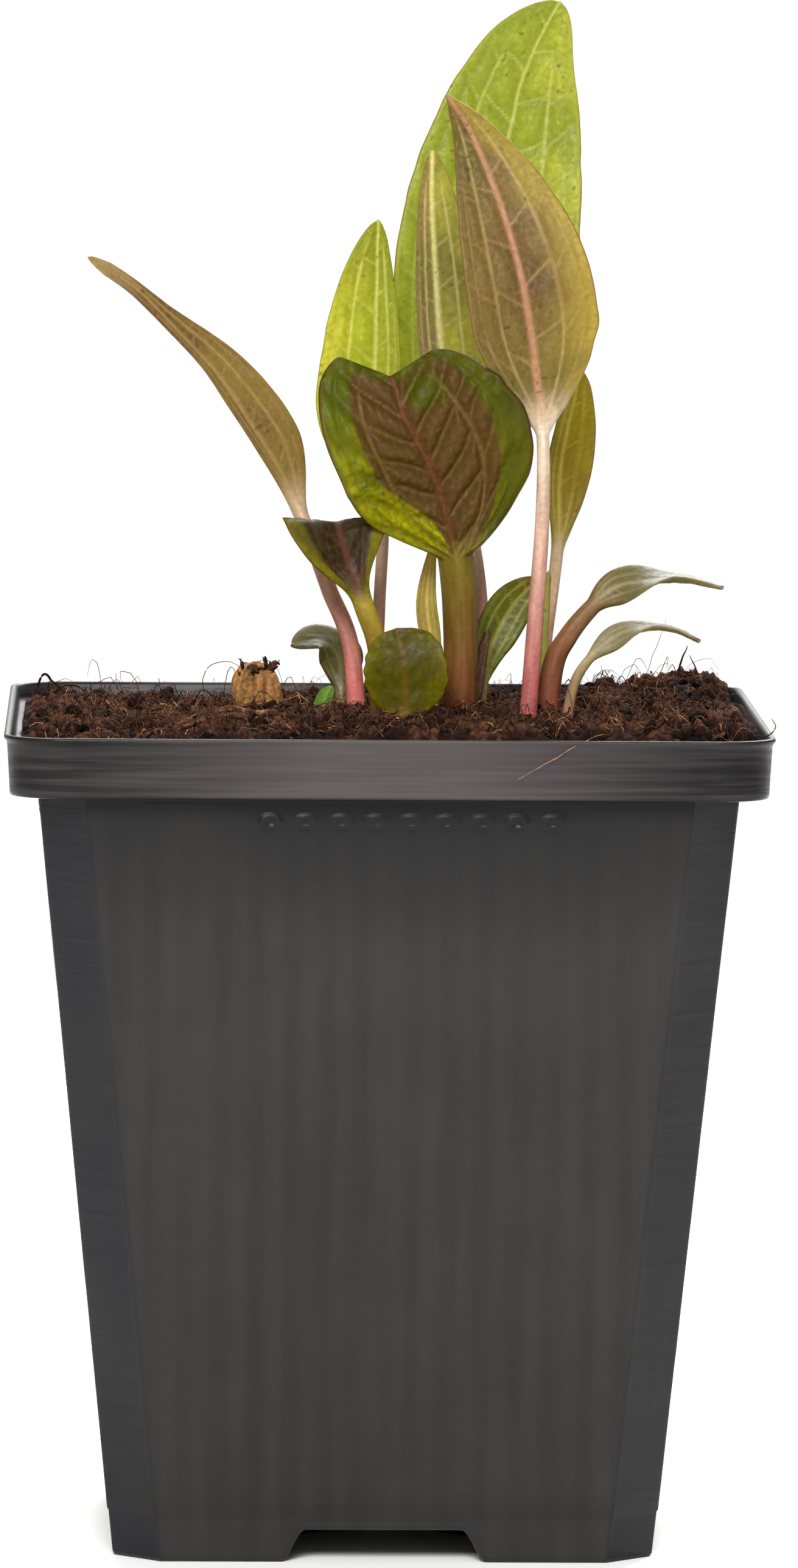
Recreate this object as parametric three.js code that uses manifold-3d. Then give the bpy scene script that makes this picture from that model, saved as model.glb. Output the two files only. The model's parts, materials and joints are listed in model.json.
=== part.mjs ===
// A young coneflower plant in a square nursery pot, built in millimetres with +Z up.
// The origin is the middle of the pot's base, on the surface that the pot stands on.
// Each leaf is one solid grown on a curved midrib: a stalk that widens into a blade.
import * as THREE from "three";
import { mergeVertices } from "three/addons/utils/BufferGeometryUtils.js";
import Module from "manifold-3d";

const wasm = await Module();
wasm.setup();

// ---- driving dimensions of the pot ----
const POT_HEIGHT = 98.2;
const RIM_HALF = 45; // half the width over the lip
const RIM_DEPTH = 7.1; // height of the hanging skirt
const RIM_CORNER = 7; // radius of the rim's corners
const LEDGE_DROP = 2; // lip down to the ledge inside
const BODY_HALF_TOP = 41; // half the body's width just under the skirt
const BODY_HALF_BASE = 32;
const BODY_CHAMFER = 5.6; // leg of the 45 degree corner
const WALL = 0.75;
const FLOOR = 0.9;
const CHANNEL_WIDTH = 23.5; // drainage channels that cross under the base
const CHANNEL_HEIGHT = 3.8;
const DRAIN_RADIUS = 4;
const DRAIN_OFFSET = 17;
const CORNER_POINTS = 4; // outline points in each corner

// ---- driving dimensions of the soil and of what lies on it ----
const GAP = 0.3; // clearance between neighbouring solids
const SOIL_LEVEL = POT_HEIGHT - 1.2;
const SOIL_CELLS = 22;
const SOCKET_FLOOR = 94; // every stalk starts at this height, inside the soil

const AROUND = 10; // facets round a leaf's section
const BLADE_THICKNESS = 0.5;
const TIP_CAP = 0.04; // part of the length over which a leaf's tip closes

const material = (color, roughness) =>
  new THREE.MeshStandardMaterial({ color, roughness, metalness: 0 });
const POT_PLASTIC = material(0x2c2d31, 0.42);
const SOIL = material(0x3b271b, 0.95);
const GREEN_LEAF = material(0x7fa22c, 0.45);
const BRONZE_LEAF = material(0x75693a, 0.5);
const DRY_STEM = material(0x8a6238, 0.85);
const DRY_SHEATH = material(0x5d4630, 0.9);
const ROOT = material(0xa57a4d, 0.8);
const PELLET = material(0xd8a06b, 0.6);

// ---- solids and meshes ----
const toSolid = (geometry) => {
  const bare = geometry.clone();
  bare.deleteAttribute("normal");
  bare.deleteAttribute("uv");
  const merged = mergeVertices(bare, 1e-4);
  const mesh = new wasm.Mesh({
    numProp: 3,
    vertProperties: new Float32Array(merged.attributes.position.array),
    triVerts: new Uint32Array(merged.index.array),
  });
  return new wasm.Manifold(mesh);
};

const fromSolid = (solid) => {
  const mesh = solid.getMesh();
  const geometry = new THREE.BufferGeometry();
  const positions = new THREE.BufferAttribute(mesh.vertProperties, 3);
  geometry.setAttribute("position", positions);
  geometry.setIndex(new THREE.BufferAttribute(mesh.triVerts, 1));
  geometry.computeVertexNormals();
  return geometry;
};

const plant = new THREE.Group();
const add = (name, geometry, finish) => {
  const mesh = new THREE.Mesh(geometry, finish);
  mesh.name = name;
  plant.add(mesh);
};

// ---- the pot: a profile carried round a square outline with cut or round corners ----
// One corner point of the outline: `turn` runs 0 to 1 across the corner.
const cornerPoint = (half, corner, round, turn) => {
  const angle = (turn * Math.PI) / 2;
  const arc = [half - corner * (1 - Math.cos(angle)), half - corner * (1 - Math.sin(angle))];
  const cut = [half - corner * turn, half - corner * (1 - turn)];
  return round ? arc : cut;
};

const squareLathe = (profile) => {
  const outline = profile.map(({ half, z }) => new THREE.Vector2(half, z));
  const sides = 4 * CORNER_POINTS;
  const geometry = new THREE.LatheGeometry(outline, sides);
  const { position, uv } = geometry.attributes;
  for (let i = 0; i < position.count; i += 1) {
    const step = Math.round(uv.getX(i) * sides) % sides;
    const { half, z, corner, round } = profile[Math.round(uv.getY(i) * (profile.length - 1))];
    const turn = (step % CORNER_POINTS) / (CORNER_POINTS - 1);
    const [x, y] = cornerPoint(half, Math.min(corner, half), round, turn);
    const quarter = (Math.floor(step / CORNER_POINTS) * Math.PI) / 2;
    const across = x * Math.cos(quarter) - y * Math.sin(quarter);
    const along = x * Math.sin(quarter) + y * Math.cos(quarter);
    position.setXYZ(i, across, along, z);
  }
  return geometry;
};

const bodyHalf = (z) =>
  BODY_HALF_BASE + ((BODY_HALF_TOP - BODY_HALF_BASE) * z) / (POT_HEIGHT - RIM_DEPTH);
const bodyRing = (z, inset) => ({
  half: bodyHalf(z) - inset,
  z,
  corner: BODY_CHAMFER - inset * (2 - Math.SQRT2),
  round: false,
});
const rimRing = (z, inset) => ({
  half: RIM_HALF - inset,
  z,
  corner: RIM_CORNER - inset,
  round: true,
});
const axisPoint = (z) => ({ half: 0, z, corner: 0, round: false });

const ledge = POT_HEIGHT - LEDGE_DROP;
const skirtFoot = POT_HEIGHT - RIM_DEPTH;
const webFoot = ledge - WALL;
const outerProfile = [
  axisPoint(0),
  bodyRing(0, 0.7),
  bodyRing(0.8, 0),
  bodyRing(webFoot, 0),
  rimRing(webFoot, 0.5 + WALL),
  rimRing(skirtFoot, 0.7 + WALL),
  rimRing(skirtFoot, 0.7),
  rimRing(POT_HEIGHT - 0.9, 0.35),
  rimRing(POT_HEIGHT - 0.5, 0),
  rimRing(POT_HEIGHT, 0.1),
  rimRing(POT_HEIGHT, 0.8),
  rimRing(ledge + 0.3, 1.1),
  rimRing(ledge, 1.5),
  bodyRing(ledge, WALL),
  axisPoint(ledge),
];
const cavityProfile = [
  axisPoint(FLOOR),
  bodyRing(FLOOR, WALL),
  bodyRing(ledge + GAP, WALL),
  axisPoint(ledge + GAP),
];

const crossBars = (width, length, low, high) => {
  const along = new THREE.BoxGeometry(length, width, high - low);
  along.translate(0, 0, (low + high) / 2);
  const across = along.clone().rotateZ(Math.PI / 2);
  return toSolid(along).add(toSolid(across));
};

const post = (radius, low, high, x, y) => {
  const cylinder = new THREE.CylinderGeometry(radius, radius, high - low, 12);
  cylinder.rotateX(Math.PI / 2);
  cylinder.translate(x, y, (low + high) / 2);
  return toSolid(cylinder);
};

const channelRoof = CHANNEL_HEIGHT + FLOOR;
const makePot = () => {
  const raised = crossBars(CHANNEL_WIDTH + 2 * WALL, 2 * RIM_HALF, -1, channelRoof);
  const cavity = toSolid(squareLathe(cavityProfile)).subtract(raised);
  let pot = toSolid(squareLathe(outerProfile)).subtract(cavity);
  pot = pot.subtract(crossBars(CHANNEL_WIDTH, 2 * RIM_HALF, -1, CHANNEL_HEIGHT));
  const drains = [[0, 0]];
  for (let k = 0; k < 4; k += 1) {
    const angle = (k * Math.PI) / 2;
    drains.push([DRAIN_OFFSET * Math.cos(angle), DRAIN_OFFSET * Math.sin(angle)]);
  }
  for (const [x, y] of drains) {
    pot = pot.subtract(post(DRAIN_RADIUS, 0, channelRoof + 1, x, y));
  }
  return pot;
};
add("pot", fromSolid(makePot()), POT_PLASTIC);

// ---- leaves ----
// spine: points of the midrib, from the soil to the tip.
// stalk: half-widths of the stalk at its foot and where the blade starts.
// start: part of the length at which the blade starts.
// half: greatest half-widths of the blade, left and right of the midrib.
// widest: part of the blade's length where it is widest.
// base, tip: how full the outline is towards each end; small is blunt, large is drawn out.
// face: the way the blade's front skin looks; a stalk's front looks at STALK_FACE.
// fold, cup: how far the margins rise, in a V and in a curve, for each unit of width.
// notch: how far the two lobes stand past the tip.
const LEAVES = {
  leaf_back_tall: {
    spine: [[11, 9], [9, 10, 110], [8, 12, 119], [9.4, 15, 129], [12, 17, 142],
      [13, 18.5, 154], [15, 20, 166], [17.5, 20, 175.5], [21.2, 18, 182.8]],
    stalk: [1.2, 1], start: 0.24, half: [11.3, 11], widest: 0.48, base: 1.15, tip: 0.62,
    face: [0, -1, 0.1], fold: 0.12, cup: 0.1, rows: 20, finish: GREEN_LEAF,
  },
  leaf_front_tall: {
    spine: [[16.5, -16.5], [17.6, -15, 110], [18.4, -14, 122], [18.4, -13, 132],
      [17.2, -13, 142], [15.6, -13, 151], [12.9, -11, 160], [9.8, -8, 167.5], [7, -4, 172]],
    stalk: [1.1, 0.75], start: 0.46, half: [7, 8.2], widest: 0.34, base: 1, tip: 1.1,
    face: [0.1, -1, 0], fold: 0.15, cup: 0.1, rows: 20, finish: BRONZE_LEAF,
  },
  leaf_folded: {
    spine: [[12, 4], [12, 5, 110], [10.5, 6, 121], [8.3, 6, 131], [6.7, 6, 142],
      [6, 6, 151], [5.5, 5, 159], [5.5, 4, 165.2]],
    stalk: [0.7, 0.6], start: 0.42, half: [2.6, 5.2], widest: 0.4, base: 1, tip: 0.6,
    face: [0, -1, 0], fold: 0.5, cup: 0.1, rows: 16, finish: BRONZE_LEAF,
  },
  leaf_left_tall: {
    spine: [[-1, 6.5], [-0.4, 7.5, 110], [0, 8, 121.5], [-1.2, 8, 132.5], [-1, 7, 141],
      [-1, 6, 149], [-0.9, 3, 156.8]],
    stalk: [0.8, 0.7], start: 0.42, half: [6.9, 3], widest: 0.45, base: 1.1, tip: 0.85,
    face: [0, -1, 0], fold: 0.2, cup: 0.2, rows: 16, finish: GREEN_LEAF,
  },
  leaf_round: {
    spine: [[9, -8], [9, -8, 108], [8.5, -9, 116], [7.7, -10, 121.5], [5.7, -12, 129],
      [3.4, -13, 134.5], [0.6, -12, 138.6]],
    stalk: [1.9, 1.7], start: 0.5, half: [10.8, 12.3], widest: 0.56, base: 0.72, tip: 0.36,
    face: [0.1, -1, -0.1], fold: 0.1, cup: 0.15, notch: 1.2, rows: 20, finish: BRONZE_LEAF,
  },
  leaf_arching_left: {
    spine: [[-3, -3], [-4, -2, 106], [-6.6, -0.5, 112.8], [-9.2, 1, 119.7], [-11.9, 1, 125.6],
      [-14.9, 0, 130.7], [-17.9, -1, 135.2], [-21.2, -2, 139.7], [-26, -4, 144.8],
      [-30.5, -6, 149.2], [-35.5, -8, 152.6]],
    stalk: [1.15, 0.9], start: 0.4, half: [0.9, 4.3], widest: 0.27, base: 1.2, tip: 2.2,
    face: [0.3, -1, 0.3], fold: 0.3, cup: 0.1, rows: 20, finish: BRONZE_LEAF,
  },
  leaf_spoon: {
    spine: [[-0.6, -11.5], [-0.8, -12, 105.5], [-2.6, -13, 111.5], [-4.3, -13, 116],
      [-5.5, -12.5, 119.6], [-6, -10.5, 121.2], [-6.5, -5.5, 120.4]],
    stalk: [1.3, 1.2], start: 0.52, half: [6.2, 6.2], widest: 0.6, base: 1, tip: 0.5,
    face: [0, -0.3, 1], fold: 0.1, cup: 0.05, rows: 18, finish: BRONZE_LEAF,
  },
  leaf_low_left: {
    spine: [[-4.8, 3], [-5, 4, 101.5], [-5.6, 5, 104.4], [-7.6, 5.5, 106.1], [-11, 5, 105.6]],
    stalk: [0.8, 0.8], start: 0.35, half: [2.6, 3.2], widest: 0.5, base: 1, tip: 0.6,
    face: [0.2, -0.5, 0.9], fold: 0.1, cup: 0.1, rows: 12, finish: GREEN_LEAF,
  },
  leaf_front_small: {
    spine: [[2.4, -17.5], [2, -19, 104.5], [1.2, -17.5, 109.3]],
    stalk: [0.9, 0.9], start: 0.3, half: [4.7, 5.1], widest: 0.5, base: 0.5, tip: 0.42,
    face: [0, -1, 0.1], fold: 0.05, cup: 0.12, rows: 14, finish: GREEN_LEAF,
  },
  leaf_young: {
    spine: [[6, -3], [6, -3, 104], [5.1, -3, 111], [5.4, -2.5, 115.5], [6, -2, 118.6]],
    stalk: [0.6, 0.5], start: 0.3, half: [1.3, 1.1], widest: 0.45, base: 1, tip: 1,
    face: [0, -1, 0], fold: 0.6, cup: 0.3, rows: 12, finish: GREEN_LEAF,
  },
  leaf_small_right: {
    spine: [[11.5, 0], [12.3, 0.5, 103.5], [13.6, 1, 107.5], [15.6, 2, 111], [18.6, 3, 114]],
    stalk: [0.5, 0.5], start: 0.33, half: [2.7, 2.6], widest: 0.55, base: 0.9, tip: 0.6,
    face: [0, -1, 0], fold: 0.2, cup: 0.1, rows: 12, finish: GREEN_LEAF,
  },
  leaf_right: {
    spine: [[18.2, 6], [19.8, 6, 107.5], [21, 7, 117.5], [21.3, 8, 126], [22.4, 9, 132.5],
      [23.6, 9, 138.8]],
    stalk: [0.75, 0.75], start: 0.5, half: [1.6, 3.6], widest: 0.5, base: 1.1, tip: 0.6,
    face: [0, -1, 0], fold: 0.3, cup: 0.1, rows: 16, finish: GREEN_LEAF,
  },
  leaf_arching_right: {
    spine: [[18.6, -11], [19.8, -11.5, 104], [21.6, -12, 108], [24.4, -12, 111.5],
      [27, -12, 113.6], [31, -12, 114.6], [35.3, -12, 114.8], [40, -12, 114]],
    stalk: [1.65, 1], start: 0.54, half: [3.1, 3.1], widest: 0.5, base: 0.8, tip: 0.5,
    face: [0, 0, 1], fold: 0.12, cup: 0.1, rows: 18, finish: BRONZE_LEAF,
  },
  leaf_low_right: {
    spine: [[20.8, -17], [22, -17.5, 102], [23.8, -18, 105.6], [26.8, -18, 108.2],
      [30.5, -18, 109.5], [34, -18, 109.3], [37, -18, 108]],
    stalk: [0.8, 0.55], start: 0.46, half: [2.1, 2.1], widest: 0.5, base: 0.9, tip: 0.7,
    face: [0, 0, 1], fold: 0.12, cup: 0.1, rows: 16, finish: BRONZE_LEAF,
  },
  leaf_spike: {
    spine: [[19, -3], [19, -3, 106.5], [19.6, -2, 115.2]],
    stalk: [0.4, 0.4], start: 0.3, half: [0.5, 0.5], widest: 0.4, base: 1, tip: 1,
    face: [0, -1, 0], fold: 0.3, cup: 0.1, rows: 10, finish: GREEN_LEAF,
  },
  withered_sheath: {
    spine: [[10.4, -3.5], [10.6, -4, 101], [12.4, -4, 108.3]],
    stalk: [0.9, 0.5], start: 0.3, half: [0.9, 0.9], widest: 0.3, base: 1, tip: 1,
    face: [0.4, -1, 0], fold: 0.4, cup: 0.1, rows: 10, finish: DRY_SHEATH,
  },
  weed_seedling: {
    spine: [[-7.4, -3], [-7.2, -3.5, 99], [-6.2, -4, 101.4]],
    stalk: [0.4, 0.4], start: 0.4, half: [1.1, 1], widest: 0.5, base: 1, tip: 0.6,
    face: [0, -1, 0.4], fold: 0.1, cup: 0.1, rows: 8, finish: GREEN_LEAF,
  },
};
const STALK_FACE = new THREE.Vector3(0, -1, 0.1);

const clamp = THREE.MathUtils.clamp;
const mix = THREE.MathUtils.lerp;

// Part of the full half-width at `u`, 0 to 1 along the blade.
const bladeOutline = ({ widest, base, tip }, u) => {
  const quarter = Math.PI / 2;
  if (u < widest) return Math.sin((quarter * u) / widest) ** base;
  return Math.max(Math.cos((quarter * (u - widest)) / (1 - widest)), 0) ** tip;
};

// A closed skin: a sphere's grid, with its rows laid along the midrib and its columns round it.
const leafGeometry = (leaf, grow = 0) => {
  const points = leaf.spine.map(([x, y, z = SOCKET_FLOOR]) => new THREE.Vector3(x, y, z));
  const curve = new THREE.CatmullRomCurve3(points, false, "catmullrom", 0.5);
  const geometry = new THREE.SphereGeometry(1, AROUND, leaf.rows);
  const { position, uv } = geometry.attributes;
  const tipFace = new THREE.Vector3(...leaf.face);
  for (let i = 0; i < position.count; i += 1) {
    const row = Math.round((1 - uv.getY(i)) * leaf.rows);
    const pole = row === 0 || row === leaf.rows;
    const turn = 2 * Math.PI * uv.getX(i);
    const s = clamp((row - 1) / (leaf.rows - 1), 0, 1);
    const u = clamp((s - leaf.start) / (1 - leaf.start), 0, 1);
    const along = curve.getTangentAt(s);
    const face = STALK_FACE.clone().lerp(tipFace, clamp(1.6 * u, 0, 1));
    const across = along.clone().cross(face).normalize();
    const out = across.clone().cross(along);
    const side = Math.cos(turn);
    const full = bladeOutline(leaf, u);
    const stalk = mix(...leaf.stalk, clamp(s / leaf.start, 0, 1));
    const stalkEnd = stalk * Math.sqrt(clamp((1 - s) / TIP_CAP, 0, 1));
    const half = Math.hypot(full * leaf.half[side < 0 ? 0 : 1], stalkEnd) + grow;
    const thick = mix(stalk, BLADE_THICKNESS / 2, clamp(3 * u, 0, 1)) + grow;
    const rise = half * full * (leaf.fold * Math.abs(side) + leaf.cup * side * side);
    const reach = (leaf.notch ?? 0) * clamp((u - 0.75) / 0.25, 0, 1) ** 2 * Math.abs(side);
    const place = curve.getPointAt(s);
    if (!pole) {
      place.addScaledVector(across, half * side);
      place.addScaledVector(out, rise + thick * Math.sin(turn));
      place.addScaledVector(along, reach);
    } else if (row === leaf.rows) {
      place.addScaledVector(along, BLADE_THICKNESS);
    }
    position.setXYZ(i, place.x, place.y, place.z);
  }
  return geometry;
};

const sockets = [];
for (const [name, leaf] of Object.entries(LEAVES)) {
  add(name, fromSolid(toSolid(leafGeometry(leaf))), leaf.finish);
  sockets.push(toSolid(leafGeometry(leaf, GAP)));
}

// ---- what lies on the soil ----
// The dried stump of last year's stem: a lathe profile with ragged, uneven radii.
const STUMP = {
  place: [-15.3, 0, SOIL_LEVEL - 2],
  profile: [[0, 0], [2.6, 0], [2.9, 1.5], [2.8, 3.4], [2.9, 5.4], [2.6, 7], [1.6, 8.4], [0, 8.9]],
};
const stumpGeometry = (grow) => {
  const outline = STUMP.profile.map(([radius, z], k, all) => {
    const end = k === 0 ? -grow : k === all.length - 1 ? grow : 0;
    return new THREE.Vector2(radius > 0 ? radius + grow : 0, z + end);
  });
  const geometry = new THREE.LatheGeometry(outline, 14);
  geometry.rotateX(Math.PI / 2);
  const { position } = geometry.attributes;
  for (let i = 0; i < position.count; i += 1) {
    const [x, y, z] = [position.getX(i), position.getY(i), position.getZ(i)];
    const ragged = 1 + 0.14 * Math.sin(3 * Math.atan2(y, x) + 0.4 * z);
    position.setXYZ(i, x * ragged, 0.85 * y * ragged, z);
  }
  return geometry.translate(...STUMP.place);
};
add("dry_stem_stump", fromSolid(toSolid(stumpGeometry(0))), DRY_STEM);
sockets.push(toSolid(stumpGeometry(GAP)));

// A bare root that loops over the soil near the front.
const ROOT_RADIUS = 0.35;
const ROOT_PATH = [[-21, -16, 97.6], [-19.4, -14, 99.3], [-15.6, -14, 98.9], [-13, -15, 98.9],
  [-12.2, -18, 97]];
const rootGeometry = (radius) => {
  const points = ROOT_PATH.map((p) => new THREE.Vector3(...p));
  const section = new THREE.Shape().absarc(0, 0, radius, 0, 2 * Math.PI);
  return new THREE.ExtrudeGeometry(section, {
    extrudePath: new THREE.CatmullRomCurve3(points),
    steps: 14,
    curveSegments: 8,
    bevelEnabled: false,
  });
};
add("surface_root", fromSolid(toSolid(rootGeometry(ROOT_RADIUS))), ROOT);
sockets.push(toSolid(rootGeometry(ROOT_RADIUS + GAP)));

// Two grains of slow-release fertiliser, half sunk in the soil.
const GRAIN_RADIUS = 0.6;
const GRAINS = [[1.2, -22, 98.5], [2.8, -23, 98.2]];
const grainGeometry = (place, radius) =>
  new THREE.SphereGeometry(radius, 10, 6).translate(...place);
GRAINS.forEach((place, k) => {
  add(`fertiliser_grain_${k + 1}`, fromSolid(toSolid(grainGeometry(place, GRAIN_RADIUS))), PELLET);
  sockets.push(toSolid(grainGeometry(place, GRAIN_RADIUS + GAP)));
});

// ---- the potting soil: one root ball with an uneven top ----
const HUMPS = [ // middle x, middle y, height, spread
  [-38, -36, -2.2, 9], // low corner at the front left
  [38, 37, 2.6, 8], // heap at the back right
  [40, -30, 1, 9],
  [10, -6, 0.9, 14], // mound under the leaves
  [-16, 0, 0.8, 6],
];
const hump = (x, y, [middleX, middleY, height, spread]) =>
  height * Math.exp(-((x - middleX) ** 2 + (y - middleY) ** 2) / (2 * spread ** 2));
const soilHeight = (x, y) => {
  const lumps = 0.3 * Math.sin(0.55 * x + 1) * Math.cos(0.6 * y) + 0.2 * Math.sin(0.9 * x - 0.8 * y);
  return HUMPS.reduce((z, spot) => z + hump(x, y, spot), SOIL_LEVEL + 0.6 - 0.02 * y + lumps);
};

const makeSoil = () => {
  const inset = WALL + GAP;
  const above = POT_HEIGHT + 6;
  const filled = squareLathe([
    axisPoint(FLOOR + GAP),
    bodyRing(FLOOR + GAP, inset),
    bodyRing(ledge + GAP, inset),
    rimRing(ledge + GAP, 1.5 + GAP),
    rimRing(above, 1.5 + GAP),
    axisPoint(above),
  ]);
  const block = new THREE.BoxGeometry(92, 92, 200, SOIL_CELLS, SOIL_CELLS, 1);
  const { position } = block.attributes;
  for (let i = 0; i < position.count; i += 1) {
    if (position.getZ(i) > 0) {
      position.setZ(i, soilHeight(position.getX(i), position.getY(i)));
    }
  }
  const clearWidth = CHANNEL_WIDTH + 2 * (WALL + GAP);
  const cross = crossBars(clearWidth, 2 * RIM_HALF, -1, channelRoof + GAP);
  const ball = toSolid(filled).intersect(toSolid(block)).subtract(cross);
  return sockets.reduce((soil, socket) => soil.subtract(socket), ball);
};
add("potting_soil", fromSolid(makeSoil()), SOIL);

export default plant;
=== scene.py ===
# %% [markdown]
# # A young coneflower in a nursery pot
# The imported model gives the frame: where every leaf, the soil and the pot lie, at their real
# size. This script gives each of them the surface of the real thing. It starts by loading that
# frame.

# %% Load the frame
import json
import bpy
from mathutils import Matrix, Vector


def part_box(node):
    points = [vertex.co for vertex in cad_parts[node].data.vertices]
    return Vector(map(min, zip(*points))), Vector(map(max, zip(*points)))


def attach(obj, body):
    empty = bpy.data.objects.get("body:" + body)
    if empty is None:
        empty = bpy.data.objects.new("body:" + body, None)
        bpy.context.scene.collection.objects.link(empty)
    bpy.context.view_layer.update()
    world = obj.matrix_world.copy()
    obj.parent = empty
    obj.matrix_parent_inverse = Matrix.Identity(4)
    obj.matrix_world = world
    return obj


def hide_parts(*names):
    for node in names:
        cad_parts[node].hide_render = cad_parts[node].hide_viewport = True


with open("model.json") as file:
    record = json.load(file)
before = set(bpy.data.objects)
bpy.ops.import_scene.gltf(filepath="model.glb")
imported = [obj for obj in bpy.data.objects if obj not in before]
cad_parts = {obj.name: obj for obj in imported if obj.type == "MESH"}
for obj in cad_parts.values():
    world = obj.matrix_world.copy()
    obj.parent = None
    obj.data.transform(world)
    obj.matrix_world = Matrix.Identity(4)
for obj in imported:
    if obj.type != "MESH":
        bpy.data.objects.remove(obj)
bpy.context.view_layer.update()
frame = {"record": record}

from types import SimpleNamespace

import bmesh
import bpy
import numpy as np
from mathutils import Matrix, Vector

# %% [markdown]
# ## Units, the camera and the studio
# Shapes below are worked out in millimetres, and `MM` turns them into Blender's metres at the
# end. The camera stands far away with a long lens, slightly above the rim, so the pot's sides
# look almost parallel. A white room lights everything from all round, which is what makes thin
# leaves glow.

# %% Camera
MM = 0.001
FRAME_LONG_SIDE = 2576  # picture height, the long side, that the lens is worked out for
SENSOR_MM = 36
CAMERA_DISTANCE = 1400
CAMERA_TARGET = (1.96, 0, 89.37)
CAMERA_ELEVATION, CAMERA_AZIMUTH, CAMERA_ROLL = np.radians([4.755, -1.335, 0.397])
FOCAL_PER_FRAME = 19190 / FRAME_LONG_SIDE  # focal length over the picture's height


def add_camera():
    """Looks at the target from in front; `back` is the unit vector from it to the camera."""
    ce, se = np.cos(CAMERA_ELEVATION), np.sin(CAMERA_ELEVATION)
    ca, sa = np.cos(CAMERA_AZIMUTH), np.sin(CAMERA_AZIMUTH)
    back = Vector((sa * ce, -ca * ce, se))
    right = (-back).cross(Vector((0, 0, 1))).normalized()
    up = back.cross(right)
    turn = Matrix.Rotation(CAMERA_ROLL, 3, back)
    right, up = turn @ right, turn @ up
    data = bpy.data.cameras.new("camera")
    data.sensor_width = SENSOR_MM
    data.lens = SENSOR_MM * FOCAL_PER_FRAME
    camera = bpy.data.objects.new("camera", data)
    bpy.context.scene.collection.objects.link(camera)
    place = Vector(CAMERA_TARGET) * MM + back * CAMERA_DISTANCE * MM
    axes = Matrix((right, up, back)).transposed().to_4x4()
    camera.matrix_world = Matrix.Translation(place) @ axes
    bpy.context.scene.camera = camera
    print(f"camera: {data.lens:.0f} mm lens")


add_camera()

# %% Studio
BACKDROP, ROOM, SIDES = 1.05, 0.85, 0.1  # strengths of the white seen, of the room and of its sides
SIDE_FADE = (0.25, 0.75)  # how far to the side the room starts and ends getting darker
FLOOR_SIZE = 1.3
BOXES = {  # place and aim in metres, width in metres, power in watts
    "front_box": ((-0.16, -1.12, 0.75), (0, 0, 0.11), 0.45, 22),
    "back_box": ((0.15, 0.75, 0.75), (0.01, 0, 0.13), 0.7, 20),
}


def add_area_light(name, place, aim, size, power):
    """A square soft box at `place` that faces `aim`, in metres and watts."""
    data = bpy.data.lights.new(name, "AREA")
    data.size = size
    data.energy = power
    light = bpy.data.objects.new(name, data)
    bpy.context.scene.collection.objects.link(light)
    light.location = place
    light.rotation_euler = (Vector(aim) - Vector(place)).to_track_quat("-Z", "Y").to_euler()


def add_room(tree):
    """A white backdrop, and light from a room that is darker on the left and right."""
    backdrop = tree.nodes["Background"]
    backdrop.inputs["Strength"].default_value = BACKDROP
    backdrop.inputs["Color"].default_value = (1, 1, 1, 1)
    room = tree.nodes.new("ShaderNodeBackground")
    parts = tree.nodes.new("ShaderNodeSeparateXYZ")
    tree.links.new(tree.nodes.new("ShaderNodeTexCoord").outputs["Generated"], parts.inputs[0])
    side = tree.nodes.new("ShaderNodeMath")
    side.operation = "ABSOLUTE"
    tree.links.new(parts.outputs["X"], side.inputs[0])
    fade = tree.nodes.new("ShaderNodeMapRange")
    for socket, value in zip(fade.inputs[1:5], (*SIDE_FADE, ROOM, SIDES)):
        socket.default_value = value
    tree.links.new(side.outputs[0], fade.inputs["Value"])
    tree.links.new(fade.outputs[0], room.inputs["Strength"])
    room.inputs["Color"].default_value = (1, 1, 1, 1)
    seen = tree.nodes.new("ShaderNodeLightPath").outputs["Is Camera Ray"]
    mix = tree.nodes.new("ShaderNodeMixShader")
    for socket, value in zip(mix.inputs, (seen, room.outputs[0], backdrop.outputs[0])):
        tree.links.new(value, socket)
    tree.links.new(mix.outputs[0], tree.nodes["World Output"].inputs["Surface"])


def add_studio():
    """White all round, a pale floor, and two soft boxes: one in front, one behind the leaves."""
    world = bpy.data.worlds.new("studio")
    bpy.context.scene.world = world
    world.use_nodes = True
    add_room(world.node_tree)
    half = FLOOR_SIZE / 2
    mesh = bpy.data.meshes.new("floor")
    corners = [(-half, -half, 0), (half, -half, 0), (half, half, 0), (-half, half, 0)]
    mesh.from_pydata(corners, [], [(0, 1, 2, 3)])
    floor = bpy.data.objects.new("floor", mesh)
    bpy.context.scene.collection.objects.link(floor)
    pale = bpy.data.materials.new("floor_paper")
    pale.use_nodes = True
    paper = pale.node_tree.nodes["Principled BSDF"]
    paper.inputs["Base Color"].default_value = (0.93, 0.93, 0.92, 1)
    paper.inputs["Roughness"].default_value = 0.9
    mesh.materials.append(pale)
    for name, settings in BOXES.items():
        add_area_light(name, *settings)
    bpy.context.scene.view_settings.view_transform = "Standard"


add_studio()

# %% [markdown]
# ## Helpers
# A surface is a grid of points worked out as whole arrays. `closed_skin` closes a stack of rings
# with a pole at each end, the way a globe is closed. Noise is smooth random values between the
# corners of a lattice; adding it at several sizes gives crumbs, dents and blotches.

# %% Helpers
def lattice_values(cells, seed):
    """One repeatable value from 0 to 1 for each row of whole numbers: sines of large steps."""
    mixed = cells @ np.array([127.1, 311.7, 74.7]) + 17.3 * seed
    return np.modf(np.abs(np.sin(mixed) * 43758.5453))[0]


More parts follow.
